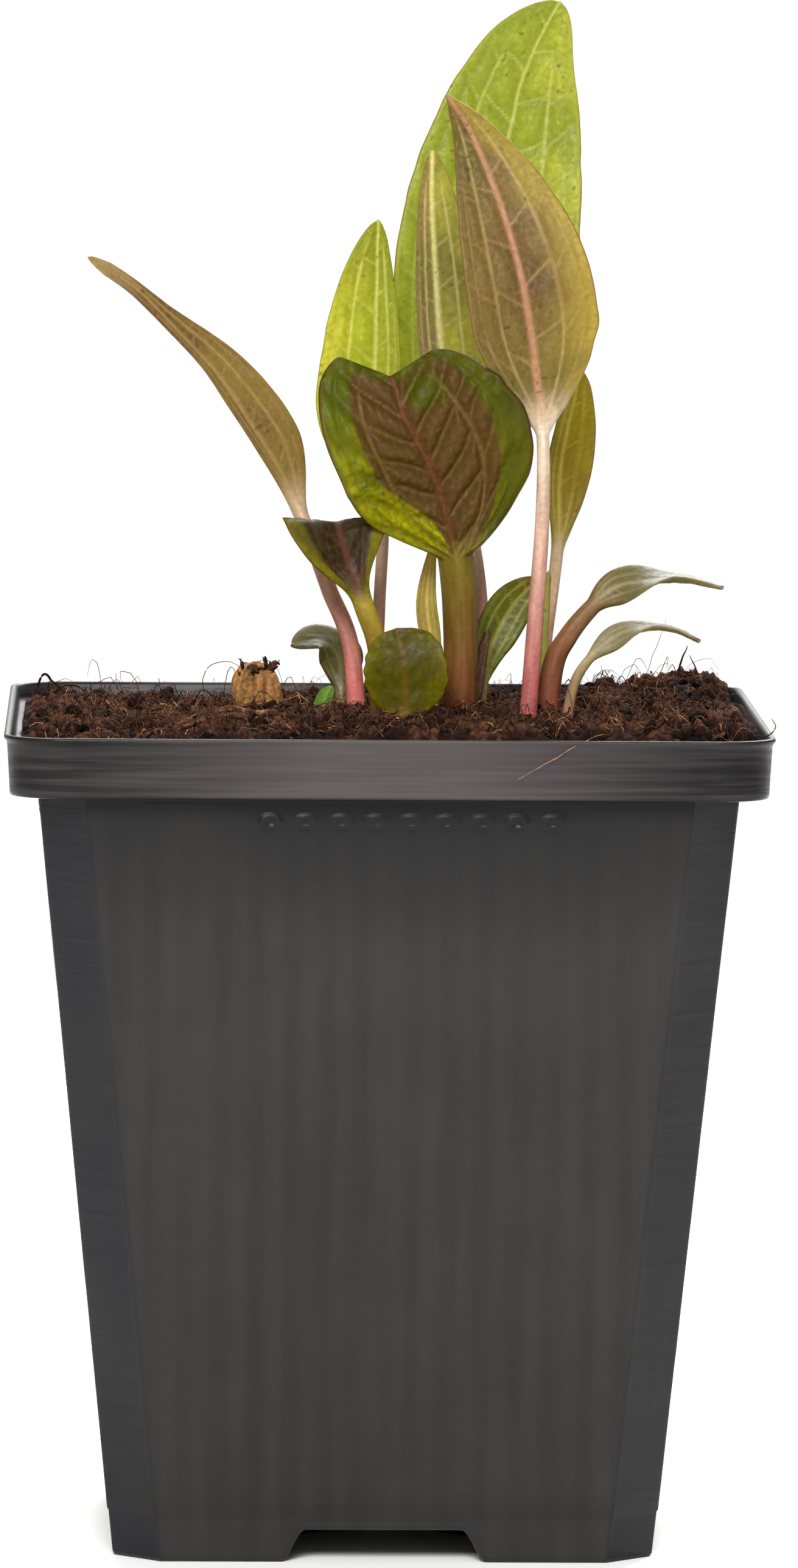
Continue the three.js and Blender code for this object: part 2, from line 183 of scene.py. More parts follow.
def noise(points, size, seed=0):
    """Smooth noise from -1 to 1: lattice values blended with a smooth step along each axis."""
    scaled = points / size
    base = np.floor(scaled)
    part = scaled - base
    part = part * part * (3 - 2 * part)
    total = np.zeros(points.shape[:-1])
    for corner in np.ndindex(2, 2, 2):
        offset = np.array(corner)
        weight = np.prod(np.where(offset == 1, part, 1 - part), axis=-1)
        total += weight * lattice_values(base + offset, seed)
    return 2 * total - 1


def rough(points, size, octaves=4, seed=0, gain=0.5):
    """Noise added at halving sizes and falling strength."""
    layers = [gain**k * noise(points, size / 2**k, seed + k) for k in range(octaves)]
    return np.sum(layers, axis=0)


def smooth_step(low, high, x):
    """0 below low, 1 above high, and an S-curve between."""
    t = np.clip((x - low) / (high - low), 0, 1)
    return t * t * (3 - 2 * t)


def bump(x, middle, width):
    """A bell of height 1 round `middle`."""
    return np.exp(-(((x - middle) / width) ** 2))


def shaken(points, amount, size, seed):
    """Points moved by up to about `amount`, with noise of its own along each axis."""
    shifts = [rough(points, size, 2, seed=seed + axis) for axis in range(3)]
    return points + amount * np.stack(shifts, axis=-1)


def make_piece(name, points, faces, material, replaces=(), paint=None):
    """Puts points in mm and faces into a mesh object that rides on the root body."""
    mesh = bpy.data.meshes.new(name)
    mesh.from_pydata(np.asarray(points) * MM, [], faces)
    mesh.polygons.foreach_set("use_smooth", np.ones(len(mesh.polygons), dtype=bool))
    if paint is not None:
        layer = mesh.color_attributes.new("paint", "FLOAT_COLOR", "POINT")
        layer.data.foreach_set("color", np.asarray(paint, dtype=np.float32).ravel())
    mesh.materials.append(material)
    mesh.update()
    piece = bpy.data.objects.new(name, mesh)
    bpy.context.scene.collection.objects.link(piece)
    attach(piece, "root")
    if replaces:
        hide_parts(*replaces)
    return piece


def grid_faces(rows, columns, wrap, first=0):
    """Quads between neighbouring rows of a grid; `wrap` joins the last column to the first."""
    row, column = np.mgrid[0 : rows - 1, 0 : columns if wrap else columns - 1]
    following = (column + 1) % columns
    a = first + row * columns + column
    b = first + row * columns + following
    return np.stack([a, b, b + columns, a + columns], axis=-1).reshape(-1, 4)


def closed_skin(rings, foot, tip):
    """Points and faces of a stack of rings, closed with a pole at each end."""
    rows, columns = rings.shape[:2]
    points = np.concatenate([rings.reshape(-1, 3), [foot], [tip]])
    quads = grid_faces(rows, columns, wrap=True)
    around = np.arange(columns)
    following = (around + 1) % columns
    foot_fan = np.stack([following, around, np.full(columns, rows * columns)], axis=-1)
    last = (rows - 1) * columns
    tip_index = np.full(columns, rows * columns + 1)
    tip_fan = np.stack([last + around, last + following, tip_index], axis=-1)
    return points, [*quads.tolist(), *foot_fan.tolist(), *tip_fan.tolist()]


def curve_through(points, count):
    """Evenly spaced points on a smooth curve through `points`, by Catmull-Rom pieces."""
    ends = np.concatenate([[2 * points[0] - points[1]], points, [2 * points[-1] - points[-2]]])

    def at(t):
        """The place on piece number floor(t), as a cubic of what is left of t."""
        piece = np.minimum(t.astype(int), len(points) - 2)
        f = (t - piece)[:, None]
        p0, p1, p2, p3 = (ends[piece + k] for k in range(4))
        square = (2 * p0 - 5 * p1 + 4 * p2 - p3) * f**2
        cube = (-p0 + 3 * p1 - 3 * p2 + p3) * f**3
        return 0.5 * (2 * p1 + (p2 - p0) * f + square + cube)

    fine = np.linspace(0, len(points) - 1, 600)
    steps = np.linalg.norm(np.diff(at(fine), axis=0), axis=1)
    length = np.concatenate([[0], np.cumsum(steps)])
    return at(np.interp(np.linspace(0, length[-1], count), length, fine))


def unit(vectors):
    """The same vectors with length 1."""
    return vectors / np.linalg.norm(vectors, axis=-1, keepdims=True)


# %% [markdown]
# ## Materials
# A material is a small graph. `Graph` shortens the wiring: it adds a node, sets its values and
# joins its inputs, so that each finish below reads like a recipe.

# %% Material helpers
class Graph:
    """Adds and joins shader nodes in one material."""

    def __init__(self, name):
        """A new material with Blender's own Principled shader."""
        self.material = bpy.data.materials.new(name)
        self.material.use_nodes = True
        self.tree = self.material.node_tree
        self.shader = self.tree.nodes["Principled BSDF"]
        self.output = self.tree.nodes["Material Output"]

    def add(self, kind, settings=None, **inputs):
        """A new node; each input is a value or another node's output socket."""
        node = self.tree.nodes.new(kind)
        for key, value in (settings or {}).items():
            setattr(node, key, value)
        for key, value in inputs.items():
            self.put(node.inputs[key], value)
        return node

    def put(self, socket, value):
        """Joins a socket, or sets its value."""
        if isinstance(value, bpy.types.NodeSocket):
            self.tree.links.new(value, socket)
        else:
            socket.default_value = value

    def blend(self, amount, first, second, kind="MIX"):
        """first where amount is 0, second where it is 1."""
        node = self.add("ShaderNodeMix", {"data_type": "RGBA", "blend_type": kind})
        for socket, value in zip((node.inputs[0], node.inputs[6], node.inputs[7]),
                                 (amount, first, second)):
            self.put(socket, value)
        return node.outputs[2]

    def number(self, operation, *values):
        """A Math node's result."""
        node = self.add("ShaderNodeMath", {"operation": operation})
        for socket, value in zip(node.inputs, values):
            self.put(socket, value)
        return node.outputs[0]

    def grain(self, scale, detail=4, stretch=(1, 1, 1)):
        """Noise on Object coordinates, stretched along the axes."""
        where = self.add("ShaderNodeTexCoord").outputs["Object"]
        mapped = self.add("ShaderNodeMapping", Vector=where, Scale=stretch).outputs[0]
        return self.add("ShaderNodeTexNoise", Vector=mapped, Scale=scale, Detail=detail).outputs[0]

    def ramp(self, value, low, high):
        """value spread so that low becomes 0 and high becomes 1."""
        node = self.add("ShaderNodeMapRange", Value=value)
        node.inputs["From Min"].default_value = low
        node.inputs["From Max"].default_value = high
        return node.outputs[0]

    def bumps(self, height, strength, distance):
        """A bump normal from a height in metres."""
        node = self.add("ShaderNodeBump", Height=height, Strength=strength, Distance=distance)
        return node.outputs[0]


def color(red, green, blue):
    """A colour given as screen values from 0 to 255, as linear light."""
    screen = np.array([red, green, blue]) / 255
    linear = np.where(screen <= 0.04045, screen / 12.92, ((screen + 0.055) / 1.055) ** 2.4)
    return (*linear.tolist(), 1)


# %% [markdown]
# ## The pot
# An injection-moulded nursery pot is one thin wall. Its outline is a square with cut corners, and
# it grows towards the rim, where the wall steps out to a ledge and turns down into a hanging
# skirt. Here a profile is carried round that outline: row after row of the same square ring, each
# with its own half-width, height and corner. The rows start under the middle of the base, climb
# outside, pass over the lip and end inside, so the wall closes on itself and has its real
# thickness.

# %% Pot outline
pot_high = np.array(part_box("pot")[1]) / MM
RIM_HALF, POT_HEIGHT = pot_high[0], pot_high[2]
BODY_HALF_TOP, BODY_HALF_BASE = 41.0, 32.0
RIM_DEPTH, LEDGE_DROP = 7.1, 2.0
RIM_CORNER, BODY_CHAMFER = 7.0, 5.6
WALL, FLOOR = 0.75, 0.9
CHANNEL_HALF, CHANNEL_HEIGHT = 11.75, 3.8
CHANNEL_SLOPE = (-2.6, 0.4)  # where the channel's side starts and ends, from the channel's edge
CORNER_SHRINK = 0.586  # 2 less the root of 2: keeps the wall even round a cut corner
BAND_HEIGHT, BAND_INSET = 5.6, 0.15
RIB_PITCH, RIB_DEPTH = 4.1, 0.05
STUD_PLACE, STUD_HEIGHT, STUD_RISE = 2.5, 88.2, 0.35
STUDS_EACH_WAY = 4.6  # how many rib pitches the row of studs reaches from its middle
DRAIN_RADIUS, DRAIN_PLACE = 4.0, 17.0
SKIRT_FOOT, LEDGE = POT_HEIGHT - RIM_DEPTH, POT_HEIGHT - LEDGE_DROP


def body_half(z):
    """Half the body's width at height z: it grows in a straight line up to the skirt."""
    return BODY_HALF_BASE + (BODY_HALF_TOP - BODY_HALF_BASE) * z / SKIRT_FOOT


def side_steps():
    """Places along one side, -1 to 1, closer together at the channel's edges and at the corners."""
    fine = [np.linspace(0.3, 0.42, 12), np.linspace(0.8, 0.9, 9), np.linspace(0.92, 1, 7)]
    half = np.concatenate([np.linspace(0, 0.92, 62), *fine])
    return np.unique(np.round(np.concatenate([-half, half]), 4))[:-1]


def square_ring(half, along, corner, is_round):
    """Rows of points round the square: x is the side's distance, y the place along it, and the
    last stretch before each corner is bent into an arc or cut straight at 45 degrees."""
    t = np.clip((np.abs(along) - (half - corner)) / corner, 0, 1)
    angle = t * np.pi / 4
    cut = corner * t / 2
    arc_x, arc_y = corner * (1 - np.cos(angle)), corner * (t - np.sin(angle))
    x = half - np.where(is_round, arc_x, cut)
    y = np.sign(along) * (np.abs(along) - np.where(is_round, arc_y, cut))
    sides = [(x, y), (-y, x), (-x, -y), (y, -x)]
    return np.stack([np.concatenate(pair, axis=-1) for pair in zip(*sides)], axis=-1)


SIDE = side_steps()
CHANNEL_PART = CHANNEL_HALF / BODY_HALF_BASE


def channel_rise(distance):
    """How high the base is lifted, by the distance outside the channel's edge."""
    return CHANNEL_HEIGHT * (1 - smooth_step(*CHANNEL_SLOPE, distance))


def body_row(z, inset):
    """One row of the body: half-width, height and the cut corner, which shrinks with the inset."""
    half = body_half(z) - inset
    return half, z, BODY_CHAMFER - CORNER_SHRINK * inset, False


def rim_row(z, inset):
    """One row of the rim: half-width, height and round corner."""
    return RIM_HALF - inset, z, RIM_CORNER - inset, True


# %% Pot skin
OUTER_ROWS = 58  # rows of the wall, from the foot, that carry the ribs and studs
BASE_FADE = 6.5  # height at which the channels in the base no longer bend the wall


def wall_rows():
    """The profile from the foot outside, over the rim, to the foot inside."""
    foot = [body_row(z, inset + BAND_INSET) for z, inset in ((0, 0.55), (0.15, 0.2), (0.45, 0.02))]
    foot += [body_row(z, BAND_INSET) for z in np.linspace(0.9, BAND_HEIGHT - 0.15, 9)]
    shaft = [body_row(z, 0) for z in np.linspace(BAND_HEIGHT + 0.1, 85, 26)]
    shaft += [body_row(z, 0) for z in np.linspace(85.4, 91, 19)]
    under = [body_row(LEDGE - WALL - 0.3, 0), body_row(LEDGE - WALL, -0.3)]
    profile = [
        (LEDGE - WALL, 1.6), (LEDGE - WALL - 0.3, 1.25), (SKIRT_FOOT + 0.2, 1.45),
        (SKIRT_FOOT, 1.3), (SKIRT_FOOT, 0.95), (SKIRT_FOOT + 0.12, 0.74), (SKIRT_FOOT + 0.5, 0.7),
        (SKIRT_FOOT + 2, 0.62), (SKIRT_FOOT + 4, 0.5), (POT_HEIGHT - 1.1, 0.38),
        (POT_HEIGHT - 0.8, 0.3), (POT_HEIGHT - 0.55, 0.08), (POT_HEIGHT - 0.3, 0),
        (POT_HEIGHT - 0.1, 0.06), (POT_HEIGHT, 0.25), (POT_HEIGHT - 0.02, 0.5),
        (POT_HEIGHT - 0.15, 0.72), (POT_HEIGHT - 0.5, 0.84), (LEDGE + 0.5, 1.0),
        (LEDGE + 0.15, 1.1), (LEDGE, 1.35), (LEDGE, 2.4), (LEDGE - 0.08, 2.5), (LEDGE - 0.3, 2.55),
    ]
    rim = [rim_row(z, inset) for z, inset in profile]
    inner = [body_row(z, WALL) for z in (LEDGE - 0.35, LEDGE - 0.8, 88, 60, 30, 8, FLOOR + 3)]
    return foot + shaft + under + rim + inner


def add_pot(material):
    """The closed wall, then drain holes cut through the raised cross of the base."""
    rows = wall_rows()
    half = np.array([row[0] for row in rows])[:, None]
    height = np.array([row[1] for row in rows])[:, None]
    corner = np.array([row[2] for row in rows])[:, None]
    is_round = np.array([row[3] for row in rows])[:, None]
    along = half * SIDE
    face = np.abs(along) < half - corner - 1
    outside = (np.arange(len(rows)) < OUTER_ROWS)[:, None]
    fade = smooth_step(7, 14, height) * (1 - smooth_step(84, 87, height))
    ribs = RIB_DEPTH * np.cos(2 * np.pi * along / RIB_PITCH) * fade
    step = (along - STUD_PLACE) / RIB_PITCH
    oval = np.hypot((step - np.round(step)) * RIB_PITCH / 1.25, (height - STUD_HEIGHT) / 0.85)
    studs = STUD_RISE * bump(oval, 0.8, 0.35) * (np.abs(step) < STUDS_EACH_WAY)
    skin_half = half + np.where(face & outside & ~is_round, ribs + studs, 0)
    ring = square_ring(skin_half, along, corner, is_round)
    lift = channel_rise(np.abs(along) - CHANNEL_HALF)
    z = height + lift * (1 - smooth_step(0, BASE_FADE, height)) * (height < BASE_FADE)
    wall = np.concatenate([ring, np.tile(z, 4)[..., None]], axis=-1)

    def base(half_width, thickness, spans):
        """Rings towards the middle: the channels keep their width while the pads shrink."""
        span = np.array(spans)[:, None]
        pad = (np.abs(SIDE) - CHANNEL_PART) / (1 - CHANNEL_PART)
        outer = CHANNEL_HALF + pad * (half_width * span - CHANNEL_HALF)
        place = np.where(pad > 0, np.sign(SIDE) * outer, half_width * SIDE)
        ring_half = half_width * span
        lifted = np.maximum(channel_rise(np.abs(place) - CHANNEL_HALF),
                            channel_rise(ring_half - CHANNEL_HALF))
        leg = np.maximum(BODY_CHAMFER * span**6, 0.01) * np.ones_like(place)
        flat = square_ring(ring_half * np.ones_like(place), place, leg, False)
        return np.concatenate([flat, np.tile(lifted + thickness, 4)[..., None]], axis=-1)

    spans = [0.39, 0.42, 0.46, 0.55, 0.7, 0.85, 0.94]
    under = base(BODY_HALF_BASE - 0.7, 0, spans)
    inside = base(BODY_HALF_BASE - 0.7, FLOOR, spans[::-1])
    middle = [under[:1] * [k, k, 1] for k in (0.3, 0.7)]
    top = [inside[-1:] * [k, k, 1] for k in (0.7, 0.3)]
    rings = np.concatenate([*middle, under, wall, inside, *top])
    middle_top = CHANNEL_HEIGHT + FLOOR
    points, faces = closed_skin(rings, (0, 0, CHANNEL_HEIGHT), (0, 0, middle_top))
    pot = make_piece("pot_shell", points, faces, material, replaces=["pot"])
    cut_drain_holes(pot)
    print("pot:", len(pot.data.polygons), "faces")


def cut_drain_holes(pot):
    """Takes five upright cylinders out of the base, at the middle and along the raised cross."""
    cutter = bmesh.new()
    for x, y in ((0, 0), (1, 0), (-1, 0), (0, 1), (0, -1)):
        place = Matrix.Translation(Vector((x, y, 0.25)) * DRAIN_PLACE * MM)
        bmesh.ops.create_cone(cutter, cap_ends=True, segments=36, radius1=DRAIN_RADIUS * MM,
                              radius2=DRAIN_RADIUS * MM, depth=12 * MM, matrix=place)
    mesh = bpy.data.meshes.new("drain_cutter")
    cutter.to_mesh(mesh)
    cutter.free()
    drains = bpy.data.objects.new("drain_cutter", mesh)
    bpy.context.scene.collection.objects.link(drains)
    holes = pot.modifiers.new("drain_holes", "BOOLEAN")
    holes.object, holes.operation, holes.solver = drains, "DIFFERENCE", "EXACT"
    bpy.context.view_layer.update()
    cut = bpy.data.meshes.new_from_object(pot.evaluated_get(bpy.context.evaluated_depsgraph_get()))
    pot.modifiers.remove(holes)
    pot.data = cut
    bpy.data.objects.remove(drains)


# %% [markdown]
# The plastic is black, but never pure black: it has a soft sheen, faint vertical flow lines from
# the mould and, on the rim, fine scuffs that run along it. Light and shade are painted in too: the
# rim is painted paler in the middle of each side and darker towards its ends, the cut corners get
# painted shade, and so does the top of the wall under the rim. All of that is small changes of
# colour and roughness, placed by height, by the distance from the nearer middle line, and by
# stretched noise.

# %% Pot plastic
CHAMFER_LEAN = (BODY_HALF_TOP - BODY_HALF_BASE) / SKIRT_FOOT
CHAMFER_EDGE = BODY_HALF_BASE - BODY_CHAMFER - 0.6
RIM_PAINTED_LIGHT, RIM_PAINTED_SHADE = 8, 36  # distances from the middle of a side where the rim's painted light is strongest, its painted shade darkest


def pot_plastic():
    """Satin black plastic with flow lines, rim scuffs and a little dust, and painted light and
    shade:
    a rim paler in the middle of each side, darker cut corners and a darker top of the wall.
    """
    g = Graph("moulded_black_plastic")
    place = g.add("ShaderNodeSeparateXYZ", Vector=g.add("ShaderNodeTexCoord").outputs["Object"])
    across = g.number("MINIMUM", g.number("ABSOLUTE", place.outputs["X"]),
                      g.number("ABSOLUTE", place.outputs["Y"]))
    height = place.outputs["Z"]
    waves = g.number("SINE", g.number("MULTIPLY", across, 2 * np.pi / (RIB_PITCH * MM)))
    streaks = g.ramp(g.grain(420, detail=3, stretch=(1, 1, 0.02)), 0.3, 0.7)
    scuffs = g.ramp(g.grain(1400, detail=4, stretch=(0.03, 0.03, 1)), 0.42, 0.72)
    dust = g.ramp(g.grain(60, detail=6), 0.45, 0.8)
    on_rim = g.ramp(height, SKIRT_FOOT * MM, (SKIRT_FOOT + 0.3) * MM)
    # painted shadow: the wall is painted darker towards its top, under the overhanging rim
    clear_of_rim_shade = g.ramp(height, 92 * MM, 74 * MM)
    flow = g.number("ADD", g.number("MULTIPLY", waves, 0.09), g.number("MULTIPLY", streaks, 0.3))
    shade = g.blend(g.number("ADD", flow, 0.2), color(34, 33, 33), color(48, 46, 44))
    wall = g.blend(clear_of_rim_shade, color(20, 20, 21), shade)
    # painted shade: the cut corners, turned away from the light, are painted darker
    chamfer = g.number("SUBTRACT", across, g.number("MULTIPLY", height, CHAMFER_LEAN))
    chamfer = g.ramp(chamfer, CHAMFER_EDGE * MM, (CHAMFER_EDGE + 1.2) * MM)
    wall = g.blend(g.number("MULTIPLY", chamfer, 0.75), wall, color(22, 22, 26))
    # painted light and shade: the rim is painted paler in the middle of each side and darker
    # towards its ends, where it turns from the light
    centre = g.ramp(across, RIM_PAINTED_SHADE * MM, RIM_PAINTED_LIGHT * MM)
    rim = g.blend(centre, color(17, 16, 18), color(62, 57, 56))
    shade = g.blend(on_rim, wall, rim)
    shade = g.blend(g.number("MULTIPLY", g.number("MULTIPLY", scuffs, on_rim), 0.3), shade,
                    color(84, 80, 79))
    shade = g.blend(g.number("MULTIPLY", dust, 0.12), shade, color(70, 65, 60))
    g.put(g.shader.inputs["Base Color"], shade)
    level = g.number("ADD", g.number("MULTIPLY", scuffs, 0.16), 0.3)
    g.put(g.shader.inputs["Roughness"], level)
    g.shader.inputs["Specular IOR Level"].default_value = 0.12
    fine = g.number("ADD", g.number("MULTIPLY", streaks, 0.4), g.number("MULTIPLY", scuffs, 0.5))
    g.put(g.shader.inputs["Normal"], g.bumps(fine, 0.3, 0.0001))
    return g.material


add_pot(pot_plastic())

# %% [markdown]
# ## The leaves
# A leaf grows on a midrib: a stalk that widens into a blade. Its skin is a sheet laid along that
# curve. Two numbers place every point: `u` runs along the blade and `v` across it, from margin to
# margin. The outline says how wide the sheet is at `u`; fold and cup lift the margins; the veins
# press furrows into it, and the skin between them swells like a quilt.

# %% Leaf shapes, in millimetres
# spine: midrib points from the soil to the tip; the foot's height is the socket's floor.
# stalk: half-widths at the foot and at the blade; start: where the blade starts along the length.
# half: greatest half-widths left and right; widest, base, tip: the outline's fullness.
# face: the way the skin looks at the tip; fold, cup: how the margins rise; veins: mm between ribs;
# quilt: how far the panels swell; notch: how deep the tip is cut in; lobe: how far the left side
# reaches past the notch; scallop: teeth on the margin.
SOCKET_FLOOR = 94
LEAVES = {
    "leaf_back_tall": dict(
        spine=[(11, 9), (9, 10, 110), (8, 12, 119), (9.4, 15, 129), (12, 17, 142),
               (13, 18.5, 154), (15, 20, 166), (17.5, 20, 175.5), (21.2, 18, 182.8)],
        stalk=(1.2, 1), start=0.24, half=(11.3, 11), widest=0.48, base=1.15, tip=0.58,
        face=(0, -1, 0.1), fold=0.12, cup=0.1, veins=6.5, quilt=0.6),
    "leaf_front_tall": dict(
        spine=[(16.5, -16.5), (17.6, -15, 110), (18.4, -14, 122), (18.4, -13, 132),
               (17.2, -13, 142), (15.6, -13, 151), (12.9, -11, 160), (9.8, -8, 167.5),
               (7, -4, 172)],
        stalk=(1.1, 0.75), start=0.46, half=(7, 8.2), widest=0.34, base=1, tip=1.1,
        face=(0.1, -1, 0), fold=0.15, cup=0.1, veins=7, quilt=0.34),
    "leaf_folded": dict(
        spine=[(12, 4), (12, 5, 110), (10.5, 6, 121), (8.3, 6, 131), (6.7, 6, 142), (6, 6, 151),
               (5.5, 5, 159), (5.5, 4, 165.2)],
        stalk=(0.7, 0.6), start=0.42, half=(2.6, 5.2), widest=0.4, base=1, tip=0.6,
        face=(0, -1, 0), fold=0.5, cup=0.1, veins=5, quilt=0.36),
    "leaf_left_tall": dict(
        spine=[(-1, 6.5), (-0.4, 7.5, 110), (0, 8, 121.5), (-1.2, 8, 132.5), (-1, 7, 141),
               (-1, 6, 149), (-0.9, 3, 156.8)],
        stalk=(0.8, 0.7), start=0.42, half=(6.9, 3), widest=0.4, base=1.1, tip=0.66,
        face=(0, -1, 0), fold=0.2, cup=0.2, veins=6, quilt=0.55),
    "leaf_round": dict(
        spine=[(9, -8), (9, -8, 108), (8.5, -9, 116), (7.4, -10, 121.5), (4.8, -12, 129),
               (2, -13, 134.3), (0.3, -12, 138.8)],
        stalk=(1.9, 2.2), start=0.5, half=(10.4, 12.5), widest=0.56, base=0.72, tip=0.23,
        face=(0.1, -1, -0.1), fold=0.1, cup=0.15, notch=1.7, lobe=3, veins=3.6, quilt=1),
    "leaf_arching_left": dict(
        spine=[(-3, -3), (-4, -2, 106), (-6.6, -0.5, 112.8), (-9.2, 1, 119.7), (-11.9, 1, 125.6),
               (-14.9, 0, 130.7), (-17.9, -1, 135.2), (-21.2, -2, 139.7), (-26, -4, 144.8),
               (-30.5, -6, 149.2), (-35.5, -8, 152.6)],
        stalk=(1.15, 0.9), start=0.4, half=(0.9, 4.3), widest=0.27, base=1.2, tip=2.2,
        face=(0.3, -1, 0.3), fold=0.3, cup=0.1, veins=6, quilt=0.12),
    "leaf_spoon": dict(
        spine=[(-0.6, -11.5), (-0.8, -12, 105.5), (-2.6, -13, 111.5), (-4.3, -13, 116),
               (-5.5, -12.5, 119.6), (-6, -10.5, 121.2), (-6.5, -5.5, 120.4)],
        stalk=(1.3, 1.2), start=0.52, half=(6.2, 6.2), widest=0.68, base=1.7, tip=0.4,
        face=(0, -0.3, 1), fold=0.1, cup=0.05, veins=3, quilt=0.14),
    "leaf_low_left": dict(
        spine=[(-4.8, 3), (-5, 4, 101.5), (-5.6, 5, 104.4), (-7.6, 5.5, 106.1), (-11, 5, 105.6)],
        stalk=(0.8, 0.8), start=0.35, half=(2.6, 3.2), widest=0.5, base=1, tip=0.6,
        face=(0.2, -0.5, 0.9), fold=0.1, cup=0.1, veins=2.6, quilt=0.12),
    "leaf_front_small": dict(
        spine=[(2.4, -17.5), (2, -19, 104.5), (1.2, -17.5, 109.3)],
        stalk=(0.9, 0.9), start=0.3, half=(4.7, 5.1), widest=0.5, base=0.5, tip=0.42,
        face=(0, -1, 0.1), fold=0.05, cup=0.12, scallop=0.02, veins=2.4, quilt=0.14),
    "leaf_young": dict(
        spine=[(6, -3), (6, -3, 104), (5.1, -3, 111), (5.4, -2.5, 115.5), (6, -2, 118.6)],
        stalk=(0.6, 0.5), start=0.3, half=(1.3, 1.1), widest=0.45, base=1, tip=1,
        face=(0, -1, 0), fold=0.6, cup=0.3, veins=3, quilt=0.08),
    "leaf_small_right": dict(
        spine=[(11.5, 0), (12.3, 0.5, 103.5), (13.6, 1, 107.5), (15.6, 2, 111), (18.6, 3, 114)],
        stalk=(0.5, 0.5), start=0.33, half=(2.7, 2.6), widest=0.55, base=0.9, tip=0.6,
        face=(0, -1, 0), fold=0.2, cup=0.1, veins=2.6, quilt=0.12),
    "leaf_right": dict(
        spine=[(18.2, 6), (19.8, 6, 107.5), (21, 7, 117.5), (21.3, 8, 126), (22.4, 9, 132.5),
               (23.6, 9, 138.8)],
        stalk=(0.75, 0.75), start=0.5, half=(1.6, 3.6), widest=0.5, base=1.1, tip=0.6,
        face=(0, -1, 0), fold=0.3, cup=0.1, veins=4.5, quilt=0.14),
    "leaf_arching_right": dict(
        spine=[(18.6, -11), (19.8, -11.5, 104), (21.6, -12, 108), (24.4, -12, 111.5),
               (27, -12, 113.6), (31, -12, 114.6), (35.3, -12, 114.8), (40, -12, 114)],
        stalk=(1.65, 1), start=0.54, half=(3.1, 3.1), widest=0.5, base=0.8, tip=0.5,
        face=(0, 0, 1), fold=0.12, cup=0.1, veins=4.5, quilt=0.14),
    "leaf_low_right": dict(
        spine=[(20.8, -17), (22, -17.5, 102), (23.8, -18, 105.6), (26.8, -18, 108.2),
               (30.5, -18, 109.5), (34, -18, 109.3), (37, -18, 108)],
        stalk=(0.8, 0.55), start=0.46, half=(2.1, 2.1), widest=0.5, base=0.9, tip=0.7,
        face=(0, 0, 1), fold=0.12, cup=0.1, veins=3.6, quilt=0.12),
    "leaf_spike": dict(
        spine=[(19, -3), (19, -3, 106.5), (19.6, -2, 115.2)],
        stalk=(0.4, 0.4), start=0.3, half=(0.5, 0.5), widest=0.4, base=1, tip=1,
        face=(0, -1, 0), fold=0.3, cup=0.1, veins=3, quilt=0),
    "withered_sheath": dict(
        spine=[(10.4, -3.5), (10.6, -4, 101), (12.4, -4, 108.3)],
        stalk=(0.9, 0.5), start=0.3, half=(0.9, 0.9), widest=0.3, base=1, tip=1,
        face=(0.4, -1, 0), fold=0.4, cup=0.1, veins=2, quilt=0.2),
    "weed_seedling": dict(
        spine=[(-7.4, -3), (-7.2, -3.5, 99), (-6.2, -4, 101.4)],
        stalk=(0.4, 0.4), start=0.4, half=(1.1, 1), widest=0.5, base=1, tip=0.6,
        face=(0, -1, 0.4), fold=0.1, cup=0.1, veins=2, quilt=0.05),
}
STALK_FACE = np.array([0, -1, 0.1])
BLADE_THICKNESS = 0.32
TIP_CAP = 0.04
RIB_RISE, LINE_RISE, PIMPLE_RISE = 0.32, 0.06, 0.035  # midrib below, veins above, small dents
LEAF_CELL = 0.26  # size of the smallest quad on a leaf

# %% Leaf outline and midrib
def blade_outline(leaf, u):
    """Part of the full half-width: a sine up to the widest place, then a cosine to the tip."""
    rise = np.sin(np.pi / 2 * np.clip(u / leaf["widest"], 0, 1)) ** leaf["base"]
    past = np.clip((u - leaf["widest"]) / (1 - leaf["widest"]), 0, 1)
    fall = np.clip(np.cos(np.pi / 2 * past), 0, 1) ** leaf["tip"]
    return np.where(u < leaf["widest"], rise, fall)


def midrib_frame(leaf, rows):
    """Points of the midrib with three directions each: along it, across the blade and out of it."""
    spine = np.array([(*p, SOCKET_FLOOR) if len(p) == 2 else p for p in leaf["spine"]], float)
    place = curve_through(spine, rows)
    along = unit(np.gradient(place, axis=0))
    s = np.linspace(0, 1, rows)[:, None]
    u = np.clip((s - leaf["start"]) / (1 - leaf["start"]), 0, 1)
    turn = np.clip(1.6 * u, 0, 1)
    facing = STALK_FACE * (1 - turn) + np.array(leaf["face"]) * turn
    across = unit(np.cross(along, facing))
    out = np.cross(across, along)
    length = np.linalg.norm(np.diff(place, axis=0), axis=1).sum()
    return place, along, across, out, s, u, length


# %% [markdown]
# ### Veins
# A coneflower leaf has a midrib, two long side veins on each side that leave the stalk and run
# with the margin to the tip, and short ribs that lean forward between them. Between those lies a
# fine net. Each kind is a distance in millimetres to the nearest line, so its width is real; the
# net is the border between the cells of scattered points.

